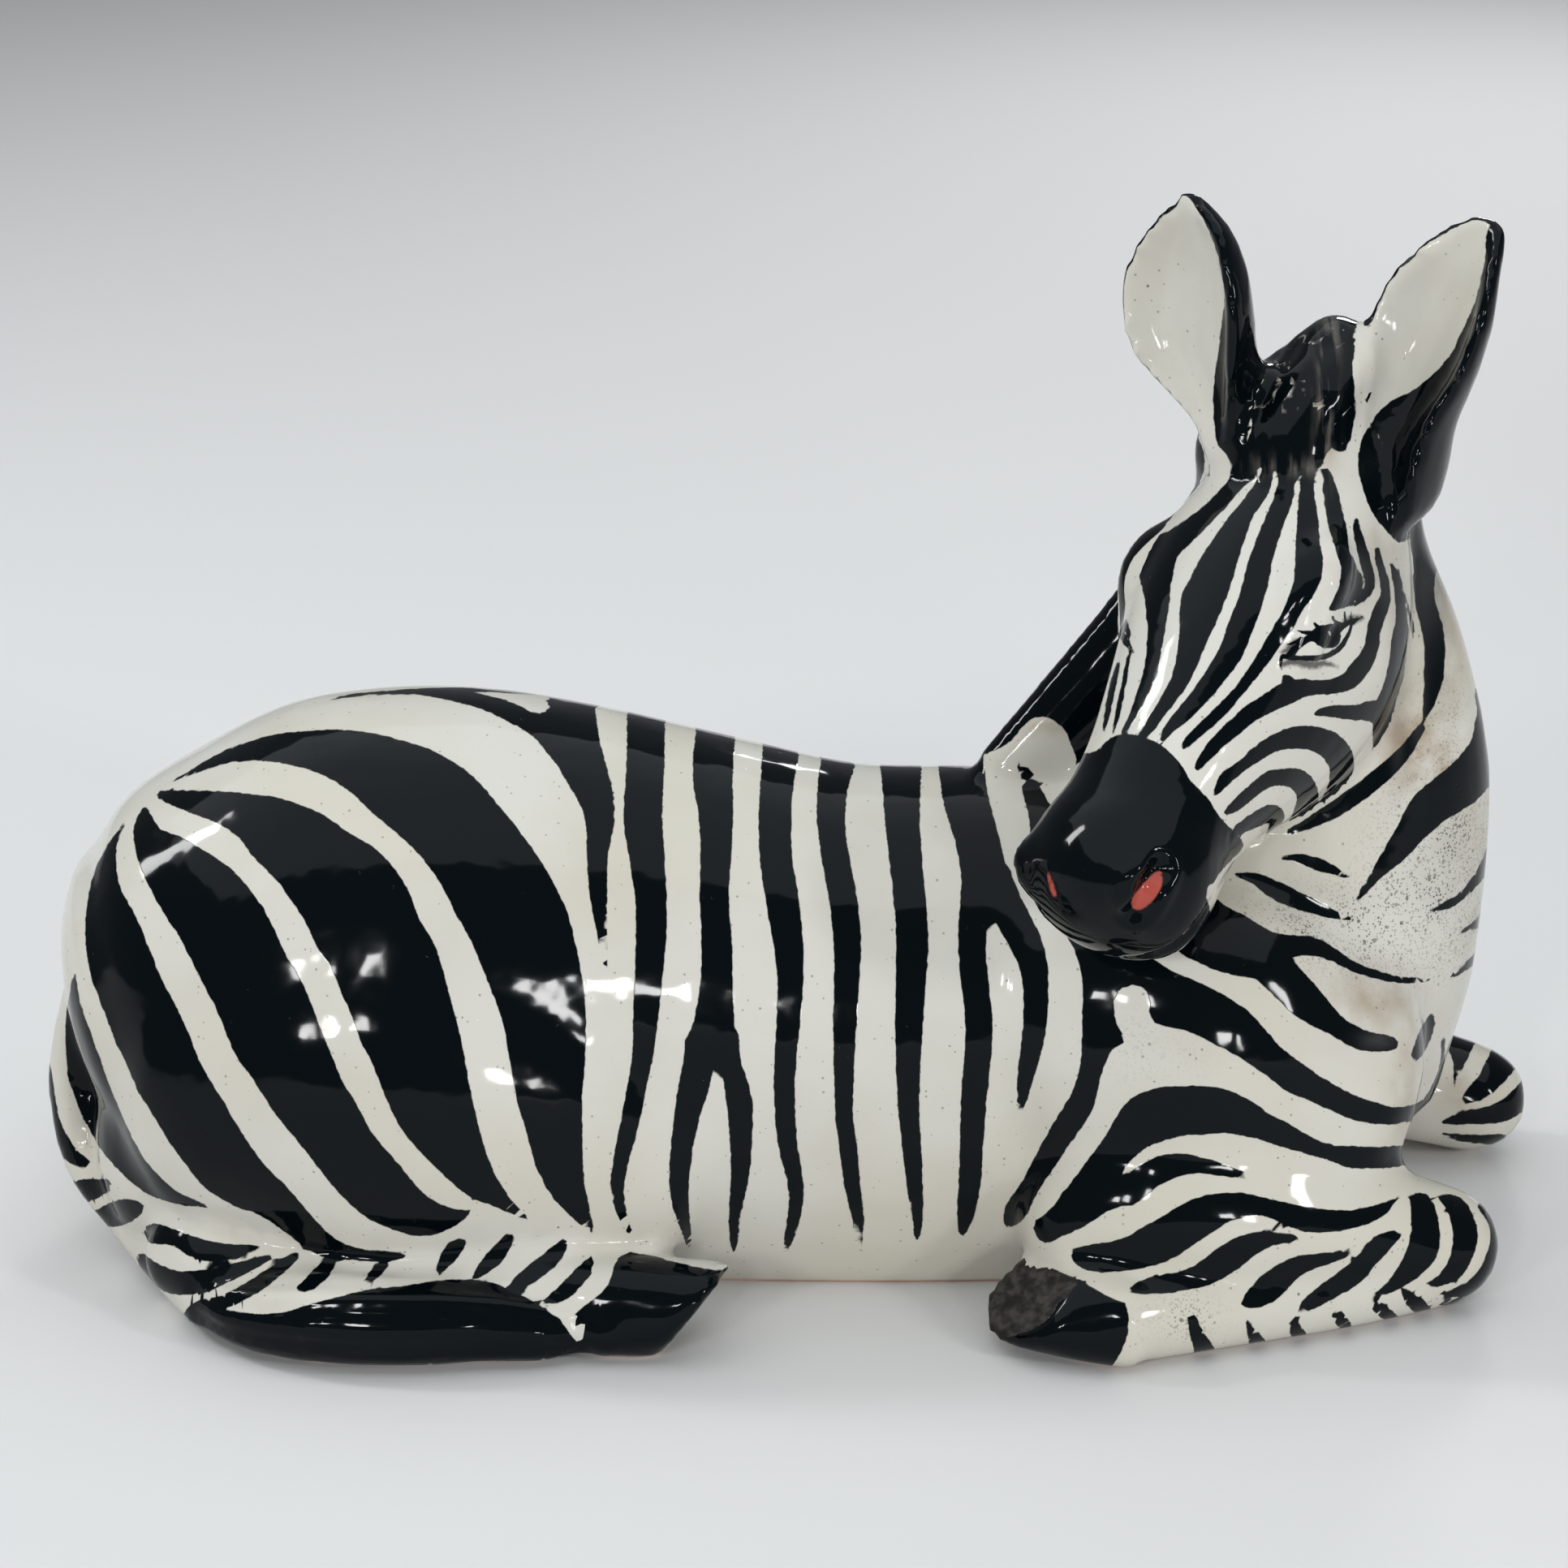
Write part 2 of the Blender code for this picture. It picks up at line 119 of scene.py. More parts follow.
def skinned(name: str, rings: Sequence[np.ndarray]) -> Form:
    """Lays a closed skin over rings of equally many points.

    Args:
        name: The form's name.
        rings: The rings in order, in metres.

    Returns:
        The form, capped at each end.
    """
    sides = len(rings[0])
    points = [tuple(p) for ring in rings for p in ring]
    faces = []
    for first in range(0, (len(rings) - 1) * sides, sides):
        for k in range(sides):
            a, b = first + k, first + (k + 1) % sides
            faces.append((a, b, b + sides, a + sides))
    for ring, first in ((rings[0], 0), (rings[-1], (len(rings) - 1) * sides)):
        hub = len(points)
        points.append(tuple(np.mean(ring, axis=0)))
        faces += [(first + (k + 1) % sides, first + k, hub) for k in range(sides)]
    mesh = bpy.data.meshes.new(name)
    mesh.from_pydata(points, [], faces)
    work = bmesh.new()
    work.from_mesh(mesh)
    bmesh.ops.recalc_face_normals(work, faces=work.faces)
    work.to_mesh(mesh)
    work.free()
    return linked(name, mesh)


@dataclass(frozen=True)
class Loft:
    """A limb or mass along a path, in drawn millimetres.

    A station is x, y, z, half width, half height above, half height below, squareness, pinch of the lower
    half. Where the last three are missing they are the height above, 1 and 0.
    """

    name: str
    stations: Rows
    up: Row = (0.0, 0.0, 1.0)
    dome: Row = (1.0, 1.0)
    sides: int = 32
    cap_angles: Row = (25.0, 48.0, 68.0, 82.0)

    def rows(self) -> np.ndarray:
        """Gives every station its missing numbers and reads them smoothly.

        Returns:
            Full rows along the path.
        """
        full = []
        for station in self.stations:
            station = tuple(station)
            if len(station) == 5:
                station += (station[4],)
            full.append(station + (1.0, 0.0)[len(station) - 6 :])
        return smooth_rows(full)

    def ring(
        self, centre: np.ndarray, way: np.ndarray, size: Sequence[float], shrink: float = 1.0
    ) -> np.ndarray:
        """Draws one cross section.

        Args:
            centre: Its middle.
            way: The direction of the path there.
            size: Half width, heights, squareness and pinch.
            shrink: How much smaller it is drawn.

        Returns:
            Its points in millimetres.
        """
        wide, above, below, square, pinch = size
        side = np.cross(way, self.up)
        side /= np.linalg.norm(side)
        rise = np.cross(side, way)
        turn = np.arange(self.sides) * math.tau / self.sides
        c, s = np.cos(turn), np.sin(turn)
        across = wide * np.sign(c) * np.abs(c) ** square * (1 - pinch * np.maximum(0.0, -s))
        height = np.where(s > 0, above, below) * np.sign(s) * np.abs(s) ** square
        return centre + shrink * (across[:, None] * side + height[:, None] * rise)

    def build(self, place: Place = None) -> Form:
        """Makes the closed form.

        Args:
            place: Where its own frame stands, if not in the figure's.

        Returns:
            The form.
        """
        rows = self.rows()
        centres, sizes = rows[:, :3], rows[:, 3:]
        ways = np.gradient(centres, axis=0)
        ways /= np.linalg.norm(ways, axis=1)[:, None]
        rings = [self.ring(c, w, size) for c, w, size in zip(centres, ways, sizes)]
        for end, sign in ((0, -1), (-1, 1)):
            reach = self.dome[end] * min(sizes[end][0], 0.5 * (sizes[end][1] + sizes[end][2]))
            cap = []
            for angle in np.radians(self.cap_angles) if reach > 0 else ():
                centre = centres[end] + sign * ways[end] * reach * math.sin(angle)
                cap.append(self.ring(centre, ways[end], sizes[end], math.cos(angle)))
            rings = cap[::-1] + rings if end == 0 else rings + cap
        return skinned(self.name, [placed(ring * MM, place) for ring in rings])

    def lines(self, shares: Sequence[float]) -> list[np.ndarray]:
        """Draws lines along the form.

        Args:
            shares: Where each lies on the way over from one side to the other.

        Returns:
            The lines, in drawn millimetres.
        """
        rows = self.rows()
        ways = np.gradient(rows[:, :3], axis=0)
        out = [[] for _ in shares]
        for row, way in zip(rows, ways):
            ring = self.ring(row[:3], way / np.linalg.norm(way), (row[3], row[4], row[4], 1.0, 0.0))
            for line, share in zip(out, shares):
                line.append(ring[round(share * self.sides / 2) % self.sides])
        return [np.array(line) for line in out]


def placed(points: np.ndarray, place: Place) -> np.ndarray:
    """Moves points from their own frame to the figure's.

    Args:
        points: Places.
        place: Where their frame stands, if not in the figure's.

    Returns:
        The moved places.
    """
    if place is None:
        return points
    turn = np.array(place)
    return points @ turn[:3, :3].T + turn[:3, 3]


@dataclass(frozen=True)
class Egg:
    """A ball stretched to three radii, in drawn millimetres."""

    name: str
    centre: Row
    radii: Row
    fineness: int = 4

    def build(self, place: Place = None) -> Form:
        """Makes the closed form.

        Args:
            place: Where its own frame stands, if not in the figure's.

        Returns:
            The form.
        """
        work = bmesh.new()
        bmesh.ops.create_icosphere(work, subdivisions=self.fineness, radius=1.0)
        where = Matrix.Translation(Vector(self.centre) * MM)
        where = where @ Matrix.Diagonal((*(r * MM for r in self.radii), 1.0))
        bmesh.ops.transform(work, matrix=where if place is None else place @ where, verts=work.verts)
        mesh = bpy.data.meshes.new(self.name)
        work.to_mesh(mesh)
        work.free()
        return linked(self.name, mesh)


def settled(obj: Form) -> Form:
    """Works an object's modifiers into its mesh.

    Args:
        obj: The object.

    Returns:
        The same object.
    """
    bpy.context.view_layer.update()
    graph = bpy.context.evaluated_depsgraph_get()
    mesh = bpy.data.meshes.new_from_object(obj.evaluated_get(graph))
    obj.modifiers.clear()
    obj.data = mesh
    return obj


def cast(name: str, parts: Iterable[Form], voxel: float, rounds: int) -> Form:
    """Joins closed forms into one skin and softens the joins, as clay and glaze do.

    Args:
        name: The new form's name.
        parts: The forms, which are used up.
        voxel: How finely they are skinned, in millimetres.
        rounds: How often the skin is softened.

    Returns:
        The joined form.
    """
    work = bmesh.new()
    for part in parts:
        work.from_mesh(part.data)
        bpy.data.objects.remove(part)
    mesh = bpy.data.meshes.new(name)
    work.to_mesh(mesh)
    work.free()
    obj = linked(name, mesh)
    remesh = obj.modifiers.new("skin", "REMESH")
    remesh.mode = "VOXEL"
    remesh.voxel_size = voxel * MM
    remesh.adaptivity = 0.0
    smooth = obj.modifiers.new("soften", "SMOOTH")
    smooth.factor = HALF
    smooth.iterations = rounds
    return settled(obj)


def vectors(points: Sequence[object], name: str) -> np.ndarray:
    """Reads one vector of every point.

    Args:
        points: A mesh's points or its points' normals.
        name: What is read of each.

    Returns:
        One row for each point.
    """
    rows = np.empty(len(points) * 3)
    points.foreach_get(name, rows)
    return rows.reshape(-1, 3)


# The animal's parts


class Side(Enum):
    """The two flanks. The head is turned to the near one."""

    NEAR = -1
    FAR = 1


@dataclass(frozen=True)
class Trunk:
    """Torso, haunches, buttocks, shoulders and neck."""

    torso: Rows = (
        (-186, 0, 73, 55, 51, 66),
        (-170, 0, 77, 66, 67, 80),
        (-140, 0, 80, 75, 81, 92),
        (-105, 0, 83, 78, 84, 98),
        (-70, 0, 80, 73, 83, 96),
        (-30, 0, 75, 67, 79, 93),
        (15, 0, 70, 63, 74, 92),
        (60, 0, 69, 61, 74, 92),
        (105, 0, 68, 60, 72, 88),
        (145, 0, 64, 54, 62, 80),
        (172, 0, 60, 40, 44, 66),
    )
    haunch: Rows = (
        (-160, 36, 64, 39, 50),
        (-120, 44, 66, 42, 62),
        (-80, 46, 58, 38, 56),
        (-42, 46, 42, 28, 40),
    )
    shoulder: Rows = (
        (62, 26, 74, 27, 42),
        (88, 36, 76, 34, 52),
        (118, 42, 70, 37, 57),
        (150, 36, 56, 34, 50),
    )
    neck: Rows = (
        (120, 2, 94, 52, 64, 91),
        (140, 4, 122, 46, 58, 75),
        (155, 6, 150, 38, 50, 54),
        (160, 6, 180, 31, 42, 37),
        (157, 5, 208, 27, 32, 27),
        (155, 3, 232, 23, 26, 24),
    )
    buttock_centre: Row = (-172, 22, 38)
    buttock_radii: Row = (30, 34, 38)

    def forms(self) -> list[Form]:
        """Builds the masses of the body.

        Returns:
            Forms that are still to be joined.
        """
        out = [
            Loft("torso", self.torso, dome=(0.4, 0.4)).build(),
            Loft("neck", self.neck, up=(-1, 0, 0.35), dome=(0.5, 0.6)).build(),
        ]
        for side in Side:
            out.append(Loft("haunch", on_side(self.haunch, side), dome=(0.8, 0.9)).build())
            out.append(Loft("shoulder", on_side(self.shoulder, side), dome=(1.0, 0.9)).build())
            centre = on_side((self.buttock_centre,), side)[0]
            out.append(Egg("buttock", centre, self.buttock_radii).build())
        return out


def on_side(rows: Rows, side: Side) -> Rows:
    """Sets rows that are written for the far side on the side that is asked for."""
    return tuple((row[0], side.value * row[1], *row[2:]) for row in rows)


@dataclass(frozen=True)
class Hoof:
    """A hoof from its coronet to its sole, each as centre, the way it faces, and half width and height."""

    collar: tuple[Row, Row, Row]
    edge: tuple[Row, Row, Row]
    shares: Row = (-0.12, 0.0, 0.25, 0.5, 0.75, 0.95, 1.0)
    worn: float = 0.93
    squareness: float = 0.9

    def build(self) -> Form:
        """Makes the closed hoof.

        Returns:
            The hoof.
        """
        shape = Loft("hoof", (), up=(0, 0.2, 1))
        rings = []
        for share in self.shares:
            centre, way, size = (
                np.asarray(a, float) * (1 - share) + np.asarray(b, float) * share
                for a, b in zip(self.collar, self.edge)
            )
            shrink = self.worn if share in (self.shares[0], self.shares[-1]) else 1.0
            way = way / np.linalg.norm(way)
            rings.append(shape.ring(centre, way, (*size, size[1], self.squareness, 0.0), shrink) * MM)
        return skinned("hoof", rings)


@dataclass(frozen=True)
class Foreleg:
    """A foreleg with its knee forward, the cannon folded back under it and the sole turned up."""

    forearm: Rows
    cannon: Rows
    hoof: Hoof

    def upper(self) -> Form:
        """Builds the forearm, which melts into the shoulder."""
        return Loft("forearm", self.forearm, dome=(0.8, 1.0)).build()

    def lower(self) -> list[Form]:
        """Builds the cannon and the hoof."""
        return [Loft("cannon", self.cannon, dome=(0.8, 0.3)).build(), self.hoof.build()]


NEAR_FORELEG = Foreleg(
    forearm=(
        (84, -58, 30, 22, 24),
        (106, -60, 34, 26, 30),
        (135, -60, 32, 25, 28),
        (165, -55, 24, 20, 21),
        (190, -50, 17, 17.5, 18),
    ),
    cannon=(
        (190, -52, 13, 13, 13),
        (160, -66, 12, 11.5, 12),
        (125, -78, 12, 11, 12),
        (102, -85, 12.5, 12, 12.5),
        (94, -87, 13, 12.5, 13),
    ),
    hoof=Hoof(
        collar=((95, -87, 12.5), (-1, -0.15, 0.1), (13, 13.5)),
        edge=((68, -80, 15.5), (-0.66, -0.3, 0.7), (17, 14.5)),
    ),
)
FAR_FORELEG = Foreleg(
    forearm=(
        (110, 46, 36, 24, 32),
        (150, 50, 34, 24, 28),
        (185, 50, 25, 19, 20),
        (214, 48, 18, 17, 17),
    ),
    cannon=(
        (212, 50, 13, 13, 13),
        (180, 64, 12, 11.5, 12),
        (140, 76, 12, 11, 12),
        (112, 82, 13, 12.5, 13),
    ),
    hoof=Hoof(
        collar=((113, 82, 12.5), (-1, 0.15, 0.1), (13, 13.5)),
        edge=((88, 80, 15.5), (-0.66, 0.3, 0.7), (17, 14.5)),
    ),
)


@dataclass(frozen=True)
class HindLeg:
    """The hind cannon along the ground, with its hoof. Rows are written for the far side."""

    cannon: Rows = (
        (-170, 56, 17, 14, 14),
        (-160, 62, 17, 15, 15),
        (-135, 69, 15, 13, 14),
        (-105, 73, 15, 12.5, 13),
        (-75, 76, 15, 12, 13),
        (-54, 78, 14, 12, 13),
    )
    collar: tuple[Row, Row, Row] = ((-54, 78, 13), (1, 0.1, 0), (12.5, 14))
    edge: tuple[Row, Row, Row] = ((-25, 81, 12.5), (1, 0.3, -0.75), (15, 17))
    heel_centre: Row = (-50, 86, 9)
    heel_radii: Row = (9, 8, 8)

    def forms(self, side: Side) -> list[Form]:
        """Builds the leg on one side.

        Args:
            side: Which.

        Returns:
            The cannon, the hoof and the heel.
        """
        collar, edge = ((*on_side(row[:2], side), row[2]) for row in (self.collar, self.edge))
        return [
            Loft("hind_cannon", on_side(self.cannon, side), dome=(1.0, 0.3)).build(),
            Hoof(collar, edge).build(),
            Egg("heel_bulb", on_side((self.heel_centre,), side)[0], self.heel_radii).build(),
        ]


@dataclass(frozen=True)
class Tail:
    """The tail down the rump and under the hock, and its tuft in front of the hind cannon."""

    dock: Loft = Loft(
        "dock",
        (
            (-180, 2, 126, 8, 8),
            (-194, 1, 106, 9, 9),
            (-203, -2, 80, 8, 8),
            (-210, -6, 52, 7.5, 7.5),
            (-206, -14, 28, 7.5, 7.5),
            (-192, -26, 15, 8, 8),
            (-176, -48, 10, 9, 9),
            (-162, -72, 10, 9, 9),
        ),
        up=(-1, 0, 0.2),
        dome=(0.8, 0.8),
    )
    tuft: Loft = Loft(
        "tuft",
        (
            (-164, -72, 11, 7, 8),
            (-150, -82, 12, 10, 11),
            (-130, -87, 13, 12, 13),
            (-106, -89, 13, 11.5, 13),
            (-84, -88, 12, 9.5, 12),
            (-68, -87, 10, 9, 10),
            (-58, -86, 8, 6, 7),
        ),
        dome=(0.9, 0.9),
    )
    lock_shares: Row = (-0.35, -0.05, 0.2, 0.45)


@dataclass(frozen=True)
class Mane:
    """The standing crest down the neck, the topknot and the forelock between the ears."""

    crest: Loft = Loft(
        "mane",
        (
            (64, 3, 142, 8, 10),
            (83, 5, 159, 9.5, 14),
            (100, 6, 179, 10, 15),
            (117, 8, 202, 10.5, 15),
            (131, 9, 223, 11, 15),
            (133, 8, 243, 13, 16),
            (144, 6, 256, 14, 13),
            (156, 2, 267, 14, 13.5),
        ),
        up=(-1, 0, 0.8),
        dome=(0.8, 0.8),
    )
    forelock: Loft = Loft(
        "forelock",
        (
            (153, 0, 266, 15, 10),
            (146.5, -9, 262, 14.5, 9),
            (140, -16, 255, 13, 7.5),
            (135.5, -22, 246.5, 11, 5.5),
            (134, -26, 238, 7, 3),
        ),
        up=(-0.55, -0.42, 0.72),
        dome=(0.8, 0.8),
    )
    topknot: Egg = Egg("topknot", (145, -6, 254), (17, 18, 15))
    lock_shares: Row = (0.18, 0.38, 0.62, 0.82)


@dataclass(frozen=True)
class Head:
    """The head in its own frame: +Y from the poll to the muzzle, +Z out of the forehead."""

    poll: Row = (150.0, -3.0, 235.0)
    turn: float = 143.0
    nod: float = 43.0
    lean: float = 13.0
    skull: Rows = (
        (0, -10, 0, 22, 16, 22),
        (0, 8, 0, 28, 22, 36, 0.9),
        (0, 28, 0, 33, 26, 50, 0.85),
        (0, 48, 0, 34, 27, 58, 0.85, 0.1),
        (0, 66, 0, 31, 26, 56, 0.85, 0.15),
        (0, 84, 0, 27, 24, 47, 0.85, 0.2),
        (0, 100, 0, 24.5, 22, 36, 0.85, 0.2),
        (0, 114, 0, 24, 22, 28, 0.85, 0.15),
        (0, 127, 0, 27, 25, 26, 0.9, 0.1),
        (0, 138, 0, 26, 24, 25, 0.9, 0.05),
    )
    brow: tuple[Row, Row] = ((28, 43, 12), (11, 17, 10))
    eye: tuple[Row, Row] = ((28.5, 58, 7), (8, 10, 8))
    nostril_rim: tuple[Row, Row] = ((16.5, 138, 11), (9, 11, 10))
    voxel: float = 1.8
    rounds: int = 12
    nostril: Rows = ((25, 134.5, 13), (24, 141, 13), (18.5, 146, 8))
    nostril_lip: Rows = (
        (20, 141, 18), (23, 134, 16), (25.5, 131.5, 9.5),
        (25.8, 137, 7), (23.5, 143.5, 5.5), (17.5, 147.5, 4),
    )
    lips: Rows = ((25, 112, -9), (27, 122, -11), (25, 136, -12), (16, 149, -12), (0, 155, -12))
    upper_lid: Rows = ((36, 48, 14), (38, 56, 12), (36, 64, 8))
    lower_lid: Rows = ((36, 52, 2), (36, 60, 1), (34, 68, 3))

    def frame(self) -> Matrix:
        """Places the head.

        Returns:
            Where its own frame stands in the figure.
        """
        return (
            Matrix.Translation(Vector(self.poll) * MM)
            @ Matrix.Rotation(math.radians(self.turn), 4, "Z")
            @ Matrix.Rotation(math.radians(-self.nod), 4, "X")
            @ Matrix.Rotation(math.radians(self.lean), 4, "Y")
        )

    def form(self) -> Form:
        """Builds the head, softened as one form.

        Returns:
            The head.
        """
        frame = self.frame()
        parts = [Loft("skull", self.skull, dome=(0.6, 0.65)).build(frame)]
        for side in Side:
            for name, (centre, radii) in (("brow", self.brow), ("eye", self.eye), ("rim", self.nostril_rim)):
                parts.append(Egg(name, (side.value * centre[0], *centre[1:]), radii).build(frame))
        return cast("head", parts, self.voxel, self.rounds)

    def lines(self, rows: Rows) -> list[np.ndarray]:
        """Draws one carved line on both sides of the head.

        Args:
            rows: The line in the head's own frame.

        Returns:
            The two lines, in the figure's millimetres.
        """
        frame = self.frame()
        out = []
        for side in Side:
            mirrored = np.array([(side.value * x, y, z) for x, y, z in smooth_rows(rows)])
            out.append(placed(mirrored * MM, frame) / MM)
        return out


@dataclass(frozen=True)
class Ear:
    """A deep leaf. A row is a place on the chord between the rims, half that chord, how deep the back is
    behind it and how deep the hollow in front."""

    facing: Row
    leaf: Rows
    wall: float = 4.2
    least_share: float = 0.4
    sides: int = 32

    def rings(self) -> list[np.ndarray]:
        """Draws the leaf's cross sections.

        Returns:
            Rings, each first round the back and then along the hollow.
        """
        rows = smooth_rows(self.leaf)
        way = rows[-1, :3] - rows[0, :3]
        way /= np.linalg.norm(way)
        facing = np.array(self.facing) - way * np.dot(self.facing, way)
        facing /= np.linalg.norm(facing)
        across = np.cross(way, facing)
        turn = math.pi * np.arange(self.sides // 2) / (self.sides // 2)
        rings = []
        for row in rows:
            centre, (wide, deep, hollow) = row[:3], row[3:]
            inner = max(wide - self.wall, self.least_share * wide)
            back = centre + np.outer(np.cos(turn), across) * wide - np.outer(np.sin(turn), facing) * deep
            front = centre - np.outer(np.cos(turn), across) * inner - np.outer(np.sin(turn), facing) * hollow
            rings.append(np.vstack([back, front]) * MM)
        return rings

    def build(self) -> Form:
        """Makes the closed ear."""
        return skinned("ear", self.rings())

    def sheet(self, hollow: bool) -> BVHTree:
        """Cuts out one face of the ear, to measure from.

        Args:
            hollow: Whether it is the hollow, and not the back.

        Returns:
            The face.
        """
        rings, sides = self.rings(), self.sides
        columns = range(sides // 2, sides - 1) if hollow else range(sides // 2 - 1)
        faces = []
        for first in range(0, (len(rings) - 1) * sides, sides):
            faces += [(first + k, first + k + 1, first + k + 1 + sides, first + k + sides) for k in columns]
        return BVHTree.FromPolygons([Vector(p) for ring in rings for p in ring], faces)


EARS = (
    Ear(
        facing=(-0.79, -0.61, 0.1),
        leaf=(
            (122, -16, 238, 7, 9, 0),
            (119, -15, 247, 9, 17, 0),
            (116, -13, 255, 11, 21, 6),
            (108.5, -10, 268, 20.5, 25, 12),
            (106, -8, 281, 24, 24, 13),
            (105.5, -6, 292, 23, 22, 11),
            (106.5, -5, 303, 18, 16, 7),
            (108.5, -4, 312, 8, 8, 1),
            (109.5, -4, 316, 3, 3, 0),
        ),
    ),
    Ear(
        facing=(-0.743, -0.669, 0.1),
        leaf=(
            (163, -24, 226, 7, 8, 0),
            (163, -24, 236, 12, 24, 2),
            (164, -23, 248, 13, 29, 6),
            (166, -21, 260, 15, 27, 12),
            (171, -18, 274, 19, 23, 13),
            (176, -16, 288, 19.5, 19, 11),
            (182, -15, 300, 15, 14, 7),
            (188.5, -13, 307.5, 9.5, 9, 3),
            (192, -13, 311, 5.5, 6, 0),
        ),
    ),
)


# Laying out nodes


Socket = bpy.types.NodeSocket


@dataclass(frozen=True)
class Board:
    """A short hand for laying nodes out in one tree."""

    tree: bpy.types.NodeTree

    def takes(self, kind: str, *names: str) -> None:
        """Gives the tree inputs of one kind."""
        for name in names:
            self.tree.interface.new_socket(name, in_out="INPUT", socket_type=kind)

    def gives(self, kind: str, name: str) -> None:
        """Gives the tree an output."""
        self.tree.interface.new_socket(name, in_out="OUTPUT", socket_type=kind)

    def node(
        self, kind: str, given: Optional[dict[str | int, object]] = None, **settings: object
    ) -> bpy.types.Node:
        """Adds a node.

        Args:
            kind: Its type.
            given: What its inputs take, by their names or numbers.
            settings: Its own settings.

        Returns:
            The node.
        """
        node = self.tree.nodes.new(kind)
        for name, setting in settings.items():
            setattr(node, name, setting)
        for socket, value in (given or {}).items():
            self.feed(value, node.inputs[socket])
        return node

    def feed(self, given: object, socket: Socket) -> None:
        """Links a socket, or sets a plain value, vector or colour.

        Args:
            given: What comes in.
            socket: The input that takes it.
        """
        if isinstance(given, bpy.types.NodeSocket):
            self.tree.links.new(given, socket)
        elif isinstance(given, tuple):
            socket.default_value = (*given, 1.0)[: len(socket.default_value)]
        else:
            socket.default_value = given

    def value(self, name: str) -> Socket:
        """Reads one of the figure's painted attributes."""
        return self.node("ShaderNodeAttribute", attribute_name=name).outputs["Fac"]

    def noise(self, where: Socket, scale: object, detail: float) -> Socket:
        """Adds a noise pattern, from 0 to 1."""
        given = {"Vector": where, "Scale": scale, "Detail": detail}
        return self.node("ShaderNodeTexNoise", given).outputs["Fac"]

    def stretched(self, where: Socket, factors: Row) -> Socket:
        """Stretches coordinates, for a pattern that runs one way."""
        return self.node("ShaderNodeVectorMath", {0: where, 1: factors}, operation="MULTIPLY").outputs[0]

    def ramp(
        self, value: Socket, low: object, high: object, to_low: float = 0.0, to_high: float = 1.0
    ) -> Socket:
        """Stretches the values between two bounds to other bounds."""
        given = {"Value": value, "From Min": low, "From Max": high, "To Min": to_low, "To Max": to_high}
        return self.node("ShaderNodeMapRange", given, interpolation_type="SMOOTHSTEP").outputs["Result"]

    def maths(self, operation: str, a: object, b: object) -> Socket:
        """Works one value out of two."""
        return self.node("ShaderNodeMath", {0: a, 1: b}, operation=operation).outputs[0]

    def times(self, a: object, b: object) -> Socket:
        """Multiplies."""
        return self.maths("MULTIPLY", a, b)

    def sum(self, a: object, b: object) -> Socket:
        """Adds."""
        return self.maths("ADD", a, b)

    def less(self, a: object, b: object) -> Socket:
        """Subtracts the second from the first."""
        return self.maths("SUBTRACT", a, b)

    def most(self, a: object, b: object) -> Socket:
        """Takes the larger."""
        return self.maths("MAXIMUM", a, b)

    def below(self, where: Socket, height: float) -> Socket:
        """Marks what lies lower than a height."""
        return self.maths("LESS_THAN", self.node("ShaderNodeSeparateXYZ", {0: where}).outputs["Z"], height)

    def mix(self, share: object, a: object, b: object) -> Socket:
        """Mixes two colours. The share says how much of the second shows."""
        given = {0: share, 6: a, 7: b}
        return self.node("ShaderNodeMix", given, data_type="RGBA", clamp_factor=True).outputs[2]

    def group(self, tree: bpy.types.NodeTree, where: Socket, **given: object) -> Socket:
        """Places a node group with its own values and gives its mask."""
        return self.node("ShaderNodeGroup", {"Vector": where, **given}, node_tree=tree).outputs["Mask"]


# Carving


